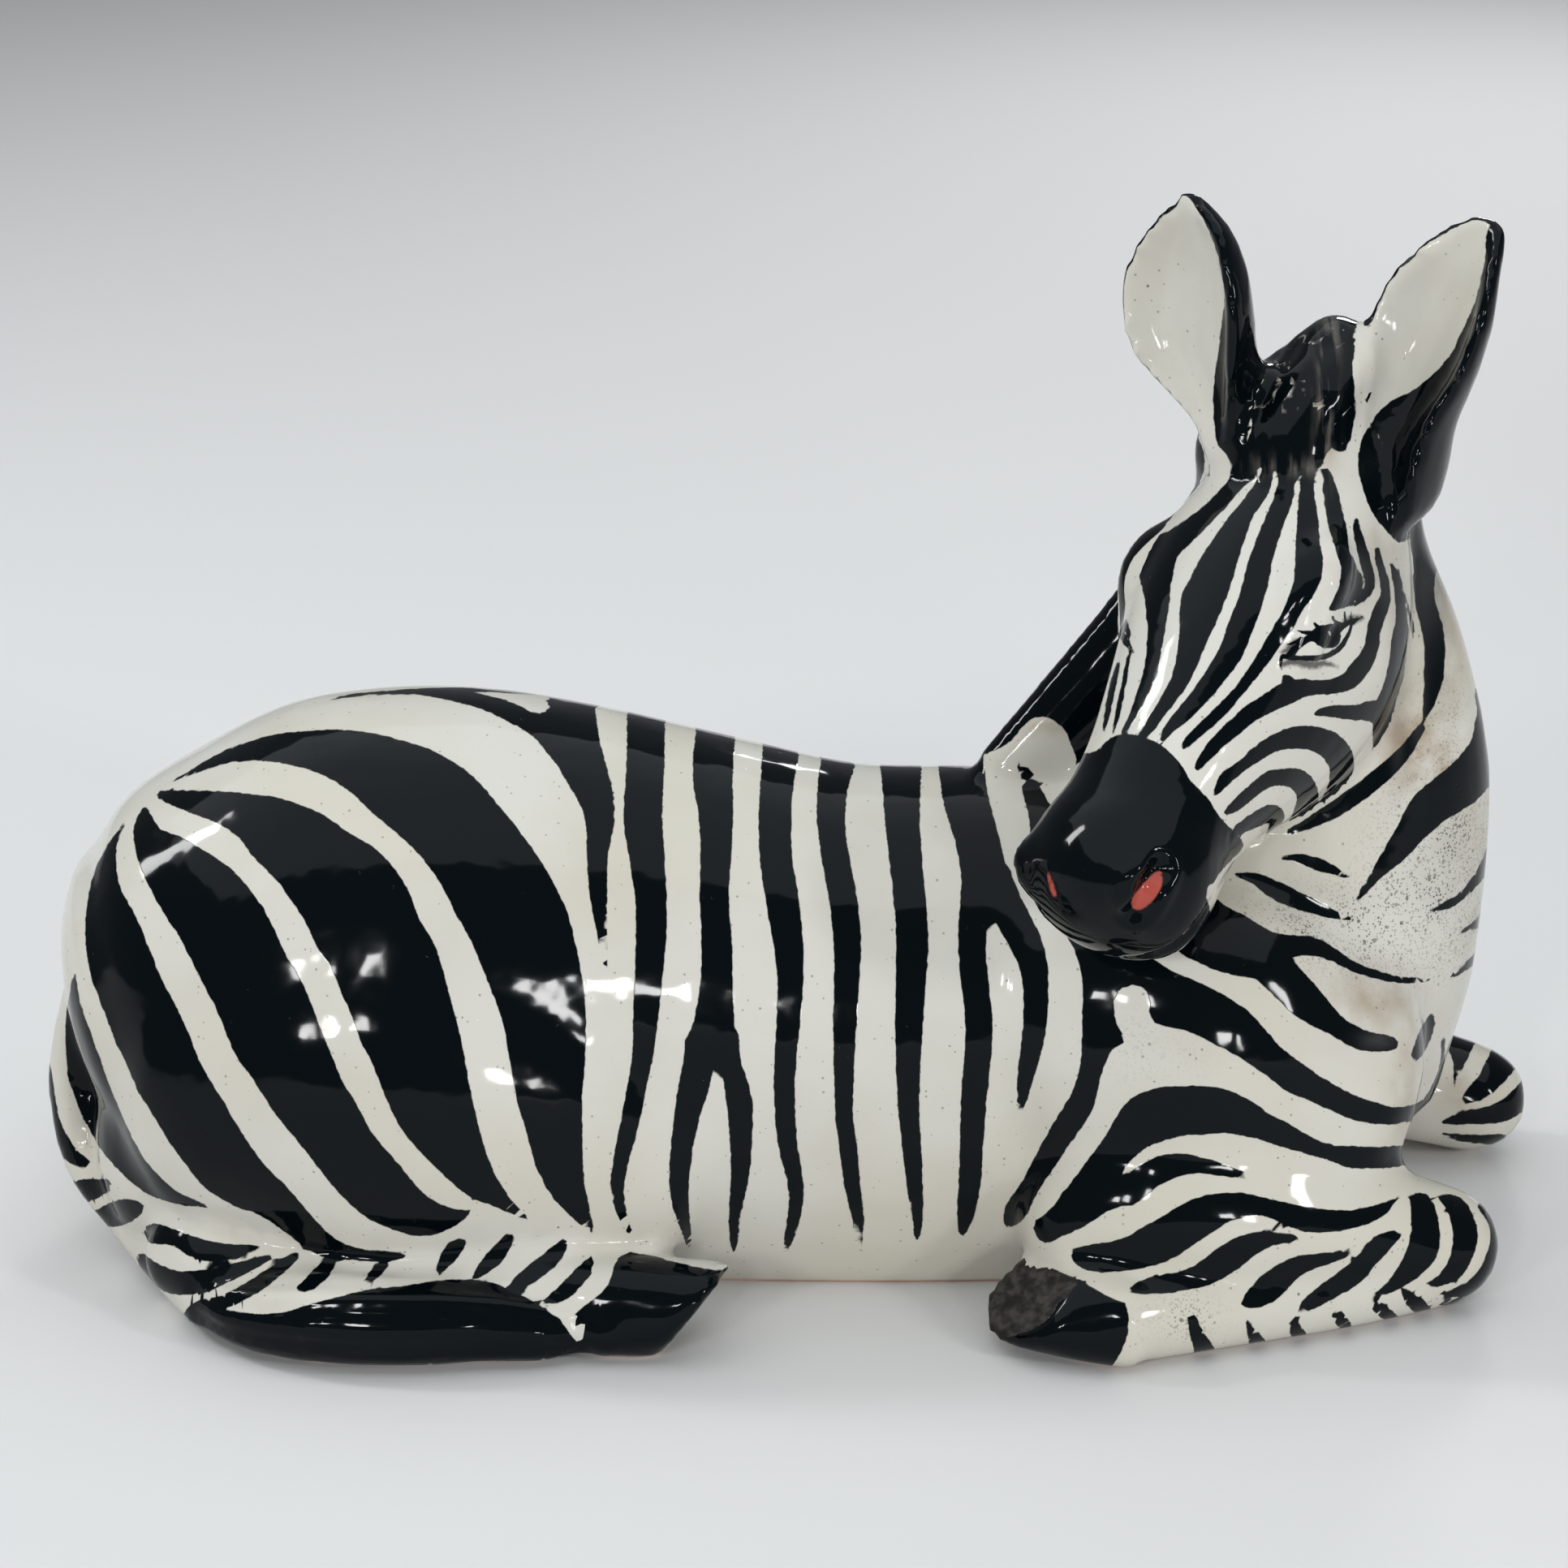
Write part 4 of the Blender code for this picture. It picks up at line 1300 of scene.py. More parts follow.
FAR_KNEE_MARKS = patches(
    ((1782, 1268), (1782, 1286), (1790, 1308), (1791, 1327), (1792, 1341), (1797, 1332), (1804, 1312),
     (1814, 1293), (1823, 1262)),
    ((1802, 1361), (1804, 1346), (1821, 1327), (1833, 1303), (1845, 1280), (1862, 1275), (1885, 1290),
     (1873, 1308), (1859, 1327), (1840, 1346), (1821, 1356)),
    ((1775, 1385), (1787, 1375), (1811, 1368), (1835, 1363), (1854, 1353), (1871, 1336), (1890, 1316),
     (1895, 1350), (1869, 1375), (1850, 1383), (1821, 1385)),
    ((1776, 1396), (1797, 1398), (1826, 1398), (1855, 1398), (1850, 1410), (1821, 1409), (1797, 1406),
     (1780, 1400)),
) + strokes(((1740, 1419, 8), (1754, 1419, 8), (1773, 1420, 7)))

NEAR_HOOF = Patch(
    ((1200, 1530), (1259, 1551), (1276, 1559), (1297, 1563), (1314, 1571), (1333, 1578), (1352, 1590),
     (1371, 1600), (1386, 1607), (1390, 1616), (1390, 1643), (1381, 1667), (1366, 1690), (1350, 1720),
     (1150, 1700), (1150, 1600)),
    soft=2,
)
SOLE = Patch(
    ((1254, 1546), (1275, 1558), (1297, 1563), (1314, 1571), (1328, 1576), (1326, 1584), (1312, 1597),
     (1300, 1610), (1293, 1622), (1280, 1634), (1262, 1642), (1240, 1647), (1212, 1646), (1205, 1635),
     (1225, 1598), (1238, 1565))
)
HIND_HOOF = Patch(
    ((772, 1542), (832, 1555), (887, 1566), (915, 1560), (915, 1700), (740, 1700), (700, 1640), (712, 1616),
     (726, 1605), (743, 1591), (752, 1579), (755, 1565)),
    soft=2,
)
TUFT_TOP = Patch(
    ((235, 1606), (270, 1614), (296, 1617), (339, 1619), (379, 1608), (419, 1597), (459, 1588), (499, 1584),
     (534, 1578), (568, 1576), (603, 1579), (626, 1588), (654, 1602), (677, 1617), (700, 1640), (705, 1720),
     (220, 1720)),
    soft=2,
)

FACE_MARKS = patches(
    ((1541, 560), (1530, 570), (1512, 593), (1490, 617), (1468, 635), (1445, 651), (1423, 662), (1410, 678),
     (1402, 695), (1404, 713), (1410, 736), (1412, 758), (1414, 776), (1412, 807), (1408, 830), (1401, 852),
     (1392, 879), (1382, 900), (1386, 903), (1396, 890), (1410, 865), (1423, 838), (1430, 811), (1434, 785),
     (1439, 758), (1443, 722), (1448, 695), (1454, 682), (1468, 669), (1490, 646), (1512, 624), (1530, 602),
     (1550, 582)),
    ((1557, 575), (1548, 593), (1532, 615), (1512, 640), (1495, 664), (1477, 691), (1466, 713), (1454, 740),
     (1453, 776), (1450, 805), (1444, 832), (1427, 865), (1408, 896), (1402, 907), (1408, 911), (1419, 903),
     (1441, 874), (1464, 843), (1477, 816), (1488, 789), (1499, 767), (1508, 745), (1519, 713), (1528, 682),
     (1537, 655), (1546, 633), (1561, 611), (1569, 586)),
    ((1579, 580), (1575, 588), (1570, 611), (1557, 642), (1546, 669), (1537, 695), (1530, 722), (1521, 749),
     (1512, 771), (1504, 794), (1490, 820), (1472, 847), (1454, 870), (1434, 896), (1429, 910), (1434, 914),
     (1448, 900), (1466, 886), (1486, 866), (1508, 841), (1530, 810), (1546, 771), (1555, 745), (1562, 722),
     (1568, 691), (1573, 673), (1582, 646), (1593, 615), (1596, 588), (1592, 578)),
    ((1603, 578), (1602, 593), (1599, 629), (1596, 669), (1596, 691), (1593, 718), (1584, 745), (1572, 767),
     (1562, 785), (1546, 811), (1523, 845), (1492, 877), (1464, 905), (1455, 920), (1461, 923), (1474, 912),
     (1504, 887), (1531, 856), (1557, 825), (1579, 794), (1592, 776), (1604, 754), (1617, 736), (1628, 713),
     (1630, 691), (1626, 664), (1624, 637), (1620, 611), (1618, 588), (1614, 576)),
    ((1628, 580), (1631, 611), (1635, 640), (1640, 660), (1647, 681), (1652, 697), (1652, 709), (1650, 722),
     (1646, 732), (1641, 741), (1637, 752), (1645, 752), (1657, 749), (1666, 744), (1674, 734), (1679, 722),
     (1679, 711), (1673, 702), (1669, 691), (1664, 681), (1661, 666), (1659, 649), (1655, 634), (1652, 620),
     (1646, 597), (1637, 578)),
) + strokes(
    ((1671, 640, 2.5), (1672, 652, 5), (1675, 665, 6), (1679, 680, 6.5), (1683, 695, 7), (1687, 708, 6.5),
     (1688, 720, 6), (1684, 730, 6), (1676, 738, 4.5), (1669, 745, 2)),
    # Round the outer corner of the eye, under it and down to the nose.
    ((1697, 676, 3), (1699, 690, 4.5), (1703, 704, 5), (1706, 718, 5.5), (1707, 735, 6.5), (1702, 750, 9),
     (1696, 765, 9), (1692, 782, 8.5), (1690, 797, 9), (1683, 812, 10.5), (1673, 827, 12), (1660, 840, 11),
     (1640, 846, 9.5), (1620, 847, 9.5), (1600, 849, 12.5), (1580, 857, 14), (1560, 868, 12), (1540, 880, 11),
     (1520, 897, 10), (1500, 915, 9), (1485, 932, 7), (1475, 946, 4)),
    ((1580, 831, 1), (1586, 838, 6), (1592, 846, 10)),
    # The outermost loop of the cheek, and its tongue.
    ((1714, 695, 2), (1718, 706, 4), (1722, 722, 5), (1725, 740, 6), (1727, 758, 7), (1726, 775, 9),
     (1724, 792, 10), (1722, 812, 10), (1719, 832, 10.5), (1713, 852, 10.5), (1706, 872, 12),
     (1705, 892, 13.5), (1704, 915, 12.5), (1701, 938, 10.5), (1695, 962, 8.5), (1687, 983, 7),
     (1675, 1003, 7), (1661, 1019, 6), (1644, 1035, 3.5), (1625, 1047, 2)),
    ((1621, 880, 2.5), (1632, 877, 6), (1655, 877, 8.5), (1675, 878, 10), (1690, 876, 13), (1700, 880, 14)),
    ((1723, 702, 1.2), (1727, 722, 1.2), (1735, 750, 1.5), (1744, 785, 3), (1748, 800, 5), (1748, 815, 7),
     (1746, 832, 8), (1743, 852, 8), (1739, 872, 9.5), (1735, 892, 10), (1734, 910, 8.5), (1730, 930, 5.5),
     (1722, 952, 2), (1712, 974, 1)),
    ((1498, 977, 4), (1511, 958, 8), (1530, 944, 7), (1548, 930, 9), (1570, 916, 10.5), (1595, 909, 14),
     (1618, 910, 15), (1638, 918, 17), (1651, 934, 17), (1653, 950, 14.5), (1649, 970, 13), (1640, 988, 12),
     (1628, 1005, 11), (1615, 1020, 9), (1598, 1032, 7.5), (1580, 1042, 6), (1560, 1053, 4.5),
     (1540, 1065, 3), (1522, 1076, 1.5)),
    ((1512, 1001, 4), (1522, 993, 7), (1537, 980, 8), (1552, 968, 8.5), (1566, 959, 10), (1584, 958, 11),
     (1600, 961, 13.5), (1610, 975, 14), (1610, 990, 12.5), (1603, 1006, 11), (1594, 1016, 8),
     (1580, 1025, 4), (1565, 1031, 3.5), (1550, 1042, 4), (1535, 1055, 3), (1520, 1068, 1.5)),
    ((1526, 1023, 7), (1540, 1014, 8.5), (1555, 1006, 10), (1568, 1003, 12), (1574, 1008, 8), (1569, 1017, 5),
     (1562, 1027, 2)),
    # Thin lines before the cheek.
    ((1378, 818, 2.5), (1372, 840, 4), (1366, 870, 4), (1360, 900, 2)),
    ((1391, 808, 2), (1385, 840, 3), (1377, 880, 3), (1371, 905, 1)),
    ((1376, 752, 2), (1384, 764, 4), (1391, 782, 3)),
    ((1377, 777, 2), (1387, 790, 4), (1396, 803, 2)),
)
MUZZLE = Patch(
    ((1340, 928), (1354, 922), (1366, 911), (1379, 905), (1392, 904), (1410, 909), (1428, 916), (1445, 930),
     (1459, 948), (1468, 963), (1486, 981), (1497, 997), (1508, 1012), (1524, 1028), (1533, 1042),
     (1521, 1057), (1508, 1070), (1495, 1088), (1486, 1104), (1500, 1200), (1400, 1260), (1200, 1200),
     (1200, 950)),
    soft=2,
)
NOSTRIL_RED = patches(
    ((1430, 1073), (1432, 1084), (1428, 1099), (1414, 1116), (1401, 1121), (1394, 1115), (1397, 1104),
     (1410, 1088), (1421, 1077)),
    ((1291, 1074), (1296, 1084), (1302, 1102), (1298, 1104), (1293, 1092)),
)

EYE_LINES = strokes(
    # The lashes and the outer corner.
    ((1586, 794, 1.3), (1594, 792, 2.1), (1603, 788, 3.1)),
    ((1599, 777, 1), (1606, 779, 2.1), (1617, 781, 3.1)),
    ((1620, 768, 1.6), (1623, 772, 2.1), (1629, 775, 2.6)),
    ((1642, 760, 1.3), (1645, 766, 1.8), (1654, 769, 2.3)),
    ((1656.5, 754, 1), (1657.5, 764, 1.8)),
    ((1665, 751, 0.8), (1664, 760, 1.3), (1666, 767, 1.6)),
    ((1655, 769, 2.6), (1665, 766, 3.6), (1678, 759, 1.6)),
    # The iris.
    ((1634, 784, 14.6), (1637, 784, 15.1)),
    # The lower lid, up to the outer corner.
    ((1579, 826, 1), (1578, 816, 2.1), (1580, 809, 2.6), (1588, 810, 3.6), (1600, 811, 3.6), (1614, 811, 3.4),
     (1627, 810, 3.4), (1640, 806, 3.4), (1650, 799, 3.1), (1657, 790, 2.9), (1662, 780, 2.3),
     (1665, 772, 2.1)),
) + patches(
    # The upper lid.
    ((1584, 808), (1590, 799), (1602, 789), (1616, 778), (1626, 771), (1646, 768), (1662, 770), (1654, 777),
     (1640, 796), (1625, 796), (1618, 791), (1607, 795), (1598, 804), (1594, 810)),
)
EYE_SMUDGE = strokes(
    ((1582, 818, 3.9), (1594, 815, 4.4), (1609, 818, 5), (1621, 819, 5), (1632, 817, 3.3), (1648, 822, 1.1)),
    ((1658, 766, 4.4), (1668, 763, 5.5), (1678, 761, 2.8)),
    ((1580, 804, 2.8), (1588, 799, 4.4), (1598, 791, 4.4)),
)
EYE_GLINT = strokes(((1638, 779, 1.3), (1638.5, 782, 1.3)))

EAR_WHITES = patches(
    ((1455, 240), (1430, 255), (1400, 280), (1375, 320), (1370, 372), (1375, 412), (1390, 452), (1420, 486),
     (1450, 508), (1474, 535), (1485, 570), (1476, 612), (1500, 612), (1523, 578), (1513, 562), (1500, 548),
     (1496, 520), (1495, 480), (1500, 440), (1505, 400), (1509, 365), (1504, 330), (1496, 300), (1482, 270),
     (1470, 250)),
    ((1832, 274), (1790, 270), (1740, 285), (1715, 305), (1690, 340), (1675, 380), (1670, 420), (1667, 460),
     (1671, 500), (1665, 540), (1660, 590), (1690, 640), (1722, 672), (1705, 655), (1690, 630), (1675, 595),
     (1676, 555), (1690, 520), (1710, 497), (1750, 475), (1785, 440), (1800, 410), (1818, 370), (1829, 320),
     (1831, 290)),
)
WITHERS_WHITE = Patch(
    ((1205, 940), (1225, 925), (1245, 914), (1259, 896), (1275, 884), (1292, 885), (1310, 897), (1320, 918),
     (1327, 940), (1334, 970), (1336, 1010), (1230, 1020)),
)
EAR_BLACKS = patches(
    ((1691, 518), (1676, 548), (1673, 575), (1679, 602), (1690, 630), (1706, 652), (1725, 669), (1745, 655),
     (1760, 640), (1760, 540), (1720, 500)),
)
FORELOCK = Patch(
    ((1530, 560), (1542, 530), (1546, 480), (1556, 438), (1580, 414), (1600, 398), (1625, 386), (1660, 374),
     (1700, 374), (1682, 405), (1674, 430), (1669, 470), (1669, 505), (1665, 535), (1658, 556), (1651, 560),
     (1646, 552), (1640, 552), (1633, 562), (1627, 577), (1619, 578), (1612, 593), (1604, 584), (1596, 595),
     (1588, 583), (1579, 593), (1571, 580), (1562, 588), (1553, 576), (1543, 580)),
    soft=1,
)


@dataclass(frozen=True)
class Blot:
    """A soft round area of tone: its middle, its radii and its strength, in the photograph's pixels."""

    x: float
    y: float
    wide: float
    high: float
    strength: float

    def tone(self, points: np.ndarray) -> np.ndarray:
        """Gives the tone at each point."""
        away = ((points[:, 0] - self.x) / self.wide) ** 2 + ((points[:, 1] - self.y) / self.high) ** 2
        return self.strength * np.exp(-away)


# Black lightened to slate: partly the figure's airbrushed grey, partly painted highlight on the brow stripe
# and the top of the band behind the cheek.
AIRBRUSH_AND_HIGHLIGHT = (
    Blot(1676, 708, 16, 28, 0.8),
    Blot(1705, 712, 12, 34, 0.8),
    Blot(1727, 800, 8, 70, 0.6),
    Blot(1748, 860, 9, 70, 0.7),
    Blot(1756, 700, 22, 85, 0.8),
    Blot(1722, 905, 8, 60, 0.4),
    Blot(1700, 1282, 24, 12, 0.9),
)
# Grey tone on the white: partly the figure's own grey wash, partly painted shade beneath the brow and under
# the jaw.
WASH_AND_SHADE = (
    Blot(1690, 715, 24, 42, 0.4),
    Blot(1726, 790, 14, 80, 0.3),
    Blot(1724, 900, 14, 60, 0.25),
    Blot(1768, 700, 22, 80, 0.65),
    Blot(1772, 830, 16, 60, 0.35),
    Blot(1280, 886, 30, 9, 0.6),
    Blot(1780, 1060, 50, 80, 0.25),
    Blot(1620, 1110, 60, 30, 0.18),
    Blot(1380, 765, 12, 30, 0.3),
)
SPONGE = (
    Blot(1775, 1060, 70, 85, 1.0),
    Blot(1700, 1150, 90, 50, 0.6),
    Blot(1600, 1140, 90, 45, 0.5),
    Blot(1780, 900, 40, 70, 0.45),
    Blot(1420, 1290, 80, 40, 0.2),
    Blot(1460, 1625, 45, 30, 0.6),
)
BROWN = (
    Blot(1740, 905, 45, 50, 0.9),
    Blot(1765, 950, 40, 40, 0.7),
    Blot(1690, 1230, 60, 45, 0.7),
    Blot(1730, 1330, 22, 70, 0.5),
    Blot(1810, 1330, 40, 60, 0.6),
    Blot(1820, 1100, 25, 110, 0.35),
    Blot(1790, 820, 22, 60, 0.6),
    Blot(1710, 665, 24, 20, 0.5),
    Blot(1640, 690, 14, 40, 0.25),
    Blot(1480, 1095, 22, 30, 0.5),
    Blot(1290, 893, 40, 12, 0.8),
    Blot(1635, 520, 16, 60, 0.9),
)
# Lighter streaks on the forelock and the top of the mane: painted highlights along the strands.
HAIR_HIGHLIGHTS = (
    Blot(1634, 490, 10, 75, 1.0),
    Blot(1640, 415, 12, 30, 0.4),
    Blot(1590, 576, 45, 10, 0.5),
)


@dataclass
class Territories:
    """Which points of the skin belong to which form.

    own holds a mask for each form. edge holds, for each form, how far a point lies outside its territory,
    and hollow how far it lies outside the hollows of the ears, in millimetres.
    """

    own: dict[str, np.ndarray]
    edge: dict[str, np.ndarray]
    hollow: np.ndarray


@dataclass(frozen=True)
class Painter:
    """Throws the paint on to the figure. Each kind of paint becomes one attribute of its points."""

    view: Viewpoint
    head: Head
    far_leg_shift: Row = (24.0, 4.0, 2.0)
    far_knee_from: float = 186.0
    fold_places: Row = (40.0, 110.0, 150.0, 168.0)
    folds: Row = (20.0, 6.0, 8.0, 60.0)
    neck_fold: float = 10.0
    neck_heights: Row = (92.0, 125.0)
    flank: float = 100.0
    face_fold: float = 24.0
    tail_limit: float = 12.0
    ear_rim: float = 0.7

    def folded(self, places: np.ndarray) -> np.ndarray:
        """Gives each point of the far flank the place of its twin on the near one.

        Args:
            places: Drawn millimetres.

        Returns:
            The places to take the paint from.
        """
        x, y = places[:, 0], places[:, 1]
        fold = np.interp(x, self.fold_places, self.folds)
        rise = np.interp(places[:, 2], self.neck_heights, (0.0, 1.0))
        fold += rise * np.minimum(self.neck_fold - fold, 0.0)
        twin = fold - (y - fold) * (self.flank + fold) / (self.flank - fold)
        out = places.copy()
        out[:, 1] = np.where(y > fold, twin, y)
        return out

    def face(self, places: np.ndarray) -> np.ndarray:
        """Throws the face on to the photograph. The far cheek, which it hides, takes the near one's pixels.

        Args:
            places: Drawn millimetres.

        Returns:
            Pixels.
        """
        frame = self.head.frame()
        own = placed(places * MM, frame.inverted()) / MM
        twin = own.copy()
        hidden = own[:, 0] > self.face_fold
        twin[hidden, 0] *= -1
        return self.view.pixels(placed(twin * MM, frame) / MM)

    def leg(self, places: np.ndarray) -> np.ndarray:
        """Throws the far foreleg on to the near one, since it is painted alike.

        Args:
            places: Drawn millimetres.

        Returns:
            Pixels.
        """
        twin = places - np.array([self.far_leg_shift[0], 0.0, self.far_leg_shift[2]])
        twin[:, 1] = -twin[:, 1] - self.far_leg_shift[1]
        return self.view.pixels(twin)

    def paint(self, figure: Form, land: Territories) -> None:
        """Paints the figure.

        Args:
            figure: The finished skin, in its drawn place.
            land: Which points belong to which form.
        """
        places = vectors(figure.data.vertices, "co") / MM
        normals = vectors(figure.data.vertex_normals, "vector")
        front = normals @ self.view.towards() > 0
        own = land.own
        direct = self.view.pixels(places)
        pixels = self.view.pixels(self.folded(places))
        far, head = own["far_fore"], own["head"]
        knee = far & (places[:, 0] > self.far_knee_from)
        pixels[far] = self.leg(places[far])
        pixels[knee] = direct[knee]
        pixels[head] = self.face(places)[head]
        pixels[own["forelock"]] = direct[own["forelock"]]

        trunk = own["body"] | own["fore"] | own["hind"] | own["dock"] | own["tuft"] | own["cannon"]
        near = places[:, 1] < self.tail_limit
        rear = places[:, 0] < 0
        hoof = own["hoof"]
        coats: tuple[tuple[np.ndarray, tuple[Mark, ...]], ...] = (
            (trunk, RUMP_BANDS + BARREL_BANDS + SHOULDER_MARKS + HIND_MARKS + NECK_MARKS),
            (near & (own["body"] | own["dock"]) & rear, TAIL_MARKS),
            (near & (own["hind"] | own["dock"] | own["tuft"]), (TUFT_TOP,)),
            ((own["hind"] | hoof) & rear, (HIND_HOOF,)),
            ((own["cannon"] | hoof | far) & ~knee & ~rear, (NEAR_HOOF,)),
            ((hoof | far) & ~knee & ~rear, SHOULDER_MARKS),
            (knee, FAR_KNEE_MARKS),
            (head, FACE_MARKS + EYE_LINES + EAR_BLACKS + (MUZZLE, FORELOCK)),
            (own["forelock"], FACE_MARKS + (FORELOCK,)),
        )
        ink = np.full(len(places), REACH)
        for where, marks in coats:
            ink[where] = np.minimum(ink[where], painted(pixels[where], marks))
        glint = painted(pixels[head], EYE_GLINT)
        ink[head] = np.maximum(ink[head], -glint)

        # The mane and the ears are black throughout, but for the hollows of the ears.
        for name in ("mane", "ear"):
            ink = np.minimum(ink, np.clip(land.edge[name] / self.view.pixel, -REACH, REACH))
        white = painted(direct, EAR_WHITES)
        hair = front & (own["mane"] | own["forelock"])
        withers = painted(direct[hair], (WITHERS_WHITE,))
        coat = np.minimum(painted(direct[hair], BARREL_BANDS + SHOULDER_MARKS), -withers)
        ink[hair] = np.maximum(ink[hair], np.maximum(-white[hair], coat))
        ear = own["ear"]
        hollow = np.maximum(white[ear], (land.hollow[ear] + self.ear_rim) / self.view.pixel)
        cupped = normals[ear] @ np.array(EARS[0].facing) > 0
        ink[ear] = np.maximum(ink[ear], np.where(cupped, -hollow, -REACH))

        layers = {"ink": np.clip(ink, -REACH, REACH)}
        for name, where, marks in (
            ("red", head, NOSTRIL_RED),
            ("sole", (hoof | far) & ~rear & ~knee, (SOLE,)),
            ("smudge", head, EYE_SMUDGE),
        ):
            layers[name] = np.full(len(places), REACH)
            layers[name][where] = painted((direct if name == "red" else pixels)[where], marks)
        pixels[front & own["mane"]] = direct[front & own["mane"]]
        for name, blots, where in (
            ("grey", AIRBRUSH_AND_HIGHLIGHT, trunk | head),
            ("wash_and_shade", WASH_AND_SHADE, trunk | head),
            ("sponge", SPONGE, ~head),
            ("brown", BROWN, ~ear),
            ("hair_highlight", HAIR_HIGHLIGHTS, front & (own["mane"] | own["forelock"] | head)),
        ):
            layers[name] = np.minimum(sum(blot.tone(pixels) for blot in blots), 1.0) * where
        for name, values in layers.items():
            attribute = figure.data.attributes.new(name, "FLOAT", "POINT")
            attribute.data.foreach_set("value", np.asarray(values, np.float32))
        faces = sum(len(polygon.vertices) - 2 for polygon in figure.data.polygons)
        log.info("painted %d points and %d triangles", len(places), faces)


# Finishes


@dataclass(frozen=True)
class Glaze:
    """The painted and glazed earthenware: its colours and how they lie."""

    name: str = SLOT
    white: Row = (0.62, 0.61, 0.56)
    warm_white: Row = (0.57, 0.545, 0.465)
    black: Row = (0.0012, 0.003, 0.0042)
    # The slate that the black is lightened to, partly as painted highlight.
    slate: Row = (0.05, 0.05, 0.052)
    # The grey of the wash, which also serves as painted shade.
    wash_and_shade: Row = (0.085, 0.08, 0.075)
    # The colour of the painted highlights on the hair.
    hair: Row = (0.30, 0.28, 0.25)
    red: Row = (0.42, 0.08, 0.06)
    brown: Row = (0.33, 0.24, 0.15)
    lid: Row = (0.022, 0.017, 0.015)
    speck: Row = (0.07, 0.065, 0.06)
    sole: Row = (0.016, 0.015, 0.014)
    grit: Row = (0.065, 0.058, 0.052)
    clay: Row = (0.60, 0.42, 0.34)
    speck_kinds: Rows = ((620.0, 0.13, 0.24, 0.5), (230.0, 0.02, 0.16, 0.75))
    base_top: float = 0.0011
    gloss: float = 0.07
    index: float = 1.25
    relief: float = 0.3
    relief_depth: float = 0.0009

    def build(self) -> bpy.types.Material:
        """Mixes the material: the paint, then how it shines.

        Returns:
            The finish.
        """
        material = bpy.data.materials.new(self.name)
        material.use_nodes = True
        tree = material.node_tree
        shader = tree.nodes["Principled BSDF"]
        board = Board(tree)
        where = board.node("ShaderNodeTexCoord").outputs["Object"]
        edge = BrushEdge.group()
        fleck = Flecks.group()

        ground = board.noise(where, 14.0, 3.0)
        cloud = board.noise(where, 70.0, 4.0)
        colour = board.mix(board.ramp(ground, 0.35, 0.7), self.white, self.warm_white)
        stain = board.times(board.value("brown"), board.ramp(cloud, 0.25, 0.7))
        colour = board.mix(stain, colour, self.brown)
        # Grey wash on the white, partly painted shade beneath the brow and under the jaw.
        wash_and_shade = board.times(board.value("wash_and_shade"), board.ramp(cloud, 0.1, 0.6))
        colour = board.mix(wash_and_shade, colour, self.wash_and_shade)
        for scale, amount, size, cover in self.speck_kinds:
            specks = board.group(fleck, where, Scale=scale, Amount=amount, Size=size)
            colour = board.mix(board.times(specks, cover), colour, self.speck)
        fine = board.group(fleck, where, Scale=1300.0, Amount=0.7, Size=0.5)
        coarse = board.group(fleck, where, Scale=620.0, Amount=0.35, Size=0.42)
        sponge = board.times(board.most(fine, coarse), board.ramp(cloud, 0.3, 0.6, 0.35, 1.0))
        colour = board.mix(board.times(sponge, board.value("sponge")), colour, self.speck)
        smudge = board.group(edge, where, Distance=board.value("smudge"), Ragged=3.0, Scale=700.0, Soft=3.0)
        colour = board.mix(board.times(smudge, 0.85), colour, self.lid)
        red = board.group(edge, where, Distance=board.value("red"), Ragged=1.5, Scale=500.0, Soft=1.5)

        ink = board.group(edge, where, Distance=board.value("ink"), Ragged=2.0, Scale=380.0, Soft=0.8)
        # Black lightened to slate: partly airbrushed grey, partly painted highlight.
        greyed = board.times(board.value("grey"), board.ramp(cloud, 0.2, 0.8, 0.7, 1.0))
        dark = board.mix(greyed, self.black, self.slate)
        # Painted highlights: the black of the hair is lightened in streaks along the strands.
        strands = board.noise(board.stretched(where, (1.0, 0.12, 0.16)), 300.0, 3.0)
        hair = board.times(board.value("hair_highlight"), board.ramp(strands, 0.42, 0.62))
        dark = board.mix(board.times(hair, 0.75), dark, self.hair)
        colour = board.mix(ink, colour, dark)
        colour = board.mix(red, colour, self.red)
        sole = board.group(edge, where, Distance=board.value("sole"), Ragged=2.0, Scale=300.0, Soft=1.2)
        layers = board.noise(board.stretched(where, (0.35, 1.0, 1.6)), 260.0, 5.0)
        rough_clay = board.mix(board.ramp(layers, 0.35, 0.68), self.sole, self.grit)
        colour = board.mix(sole, colour, rough_clay)
        bare = board.below(where, self.base_top)
        colour = board.mix(bare, colour, self.clay)
        tree.links.new(colour, shader.inputs["Base Color"])

        dull = board.most(board.times(sole, 0.5), board.times(bare, 0.85))
        tree.links.new(board.sum(self.gloss, dull), shader.inputs["Roughness"])
        shader.inputs["IOR"].default_value = self.index
        shader.inputs["Metallic"].default_value = 0.0

        pits = board.group(fleck, where, Scale=420.0, Amount=0.05, Size=0.2)
        ripple = board.times(board.noise(where, 48.0, 2.0), 2.2)
        smooth = board.less(board.sum(ripple, board.times(ink, 0.05)), board.times(pits, 0.2))
        relief = board.sum(smooth, board.times(board.times(sole, layers), 1.2))
        given = {"Strength": self.relief, "Distance": self.relief_depth, "Height": relief}
        bump = board.node("ShaderNodeBump", given)
        tree.links.new(bump.outputs["Normal"], shader.inputs["Normal"])
        return material


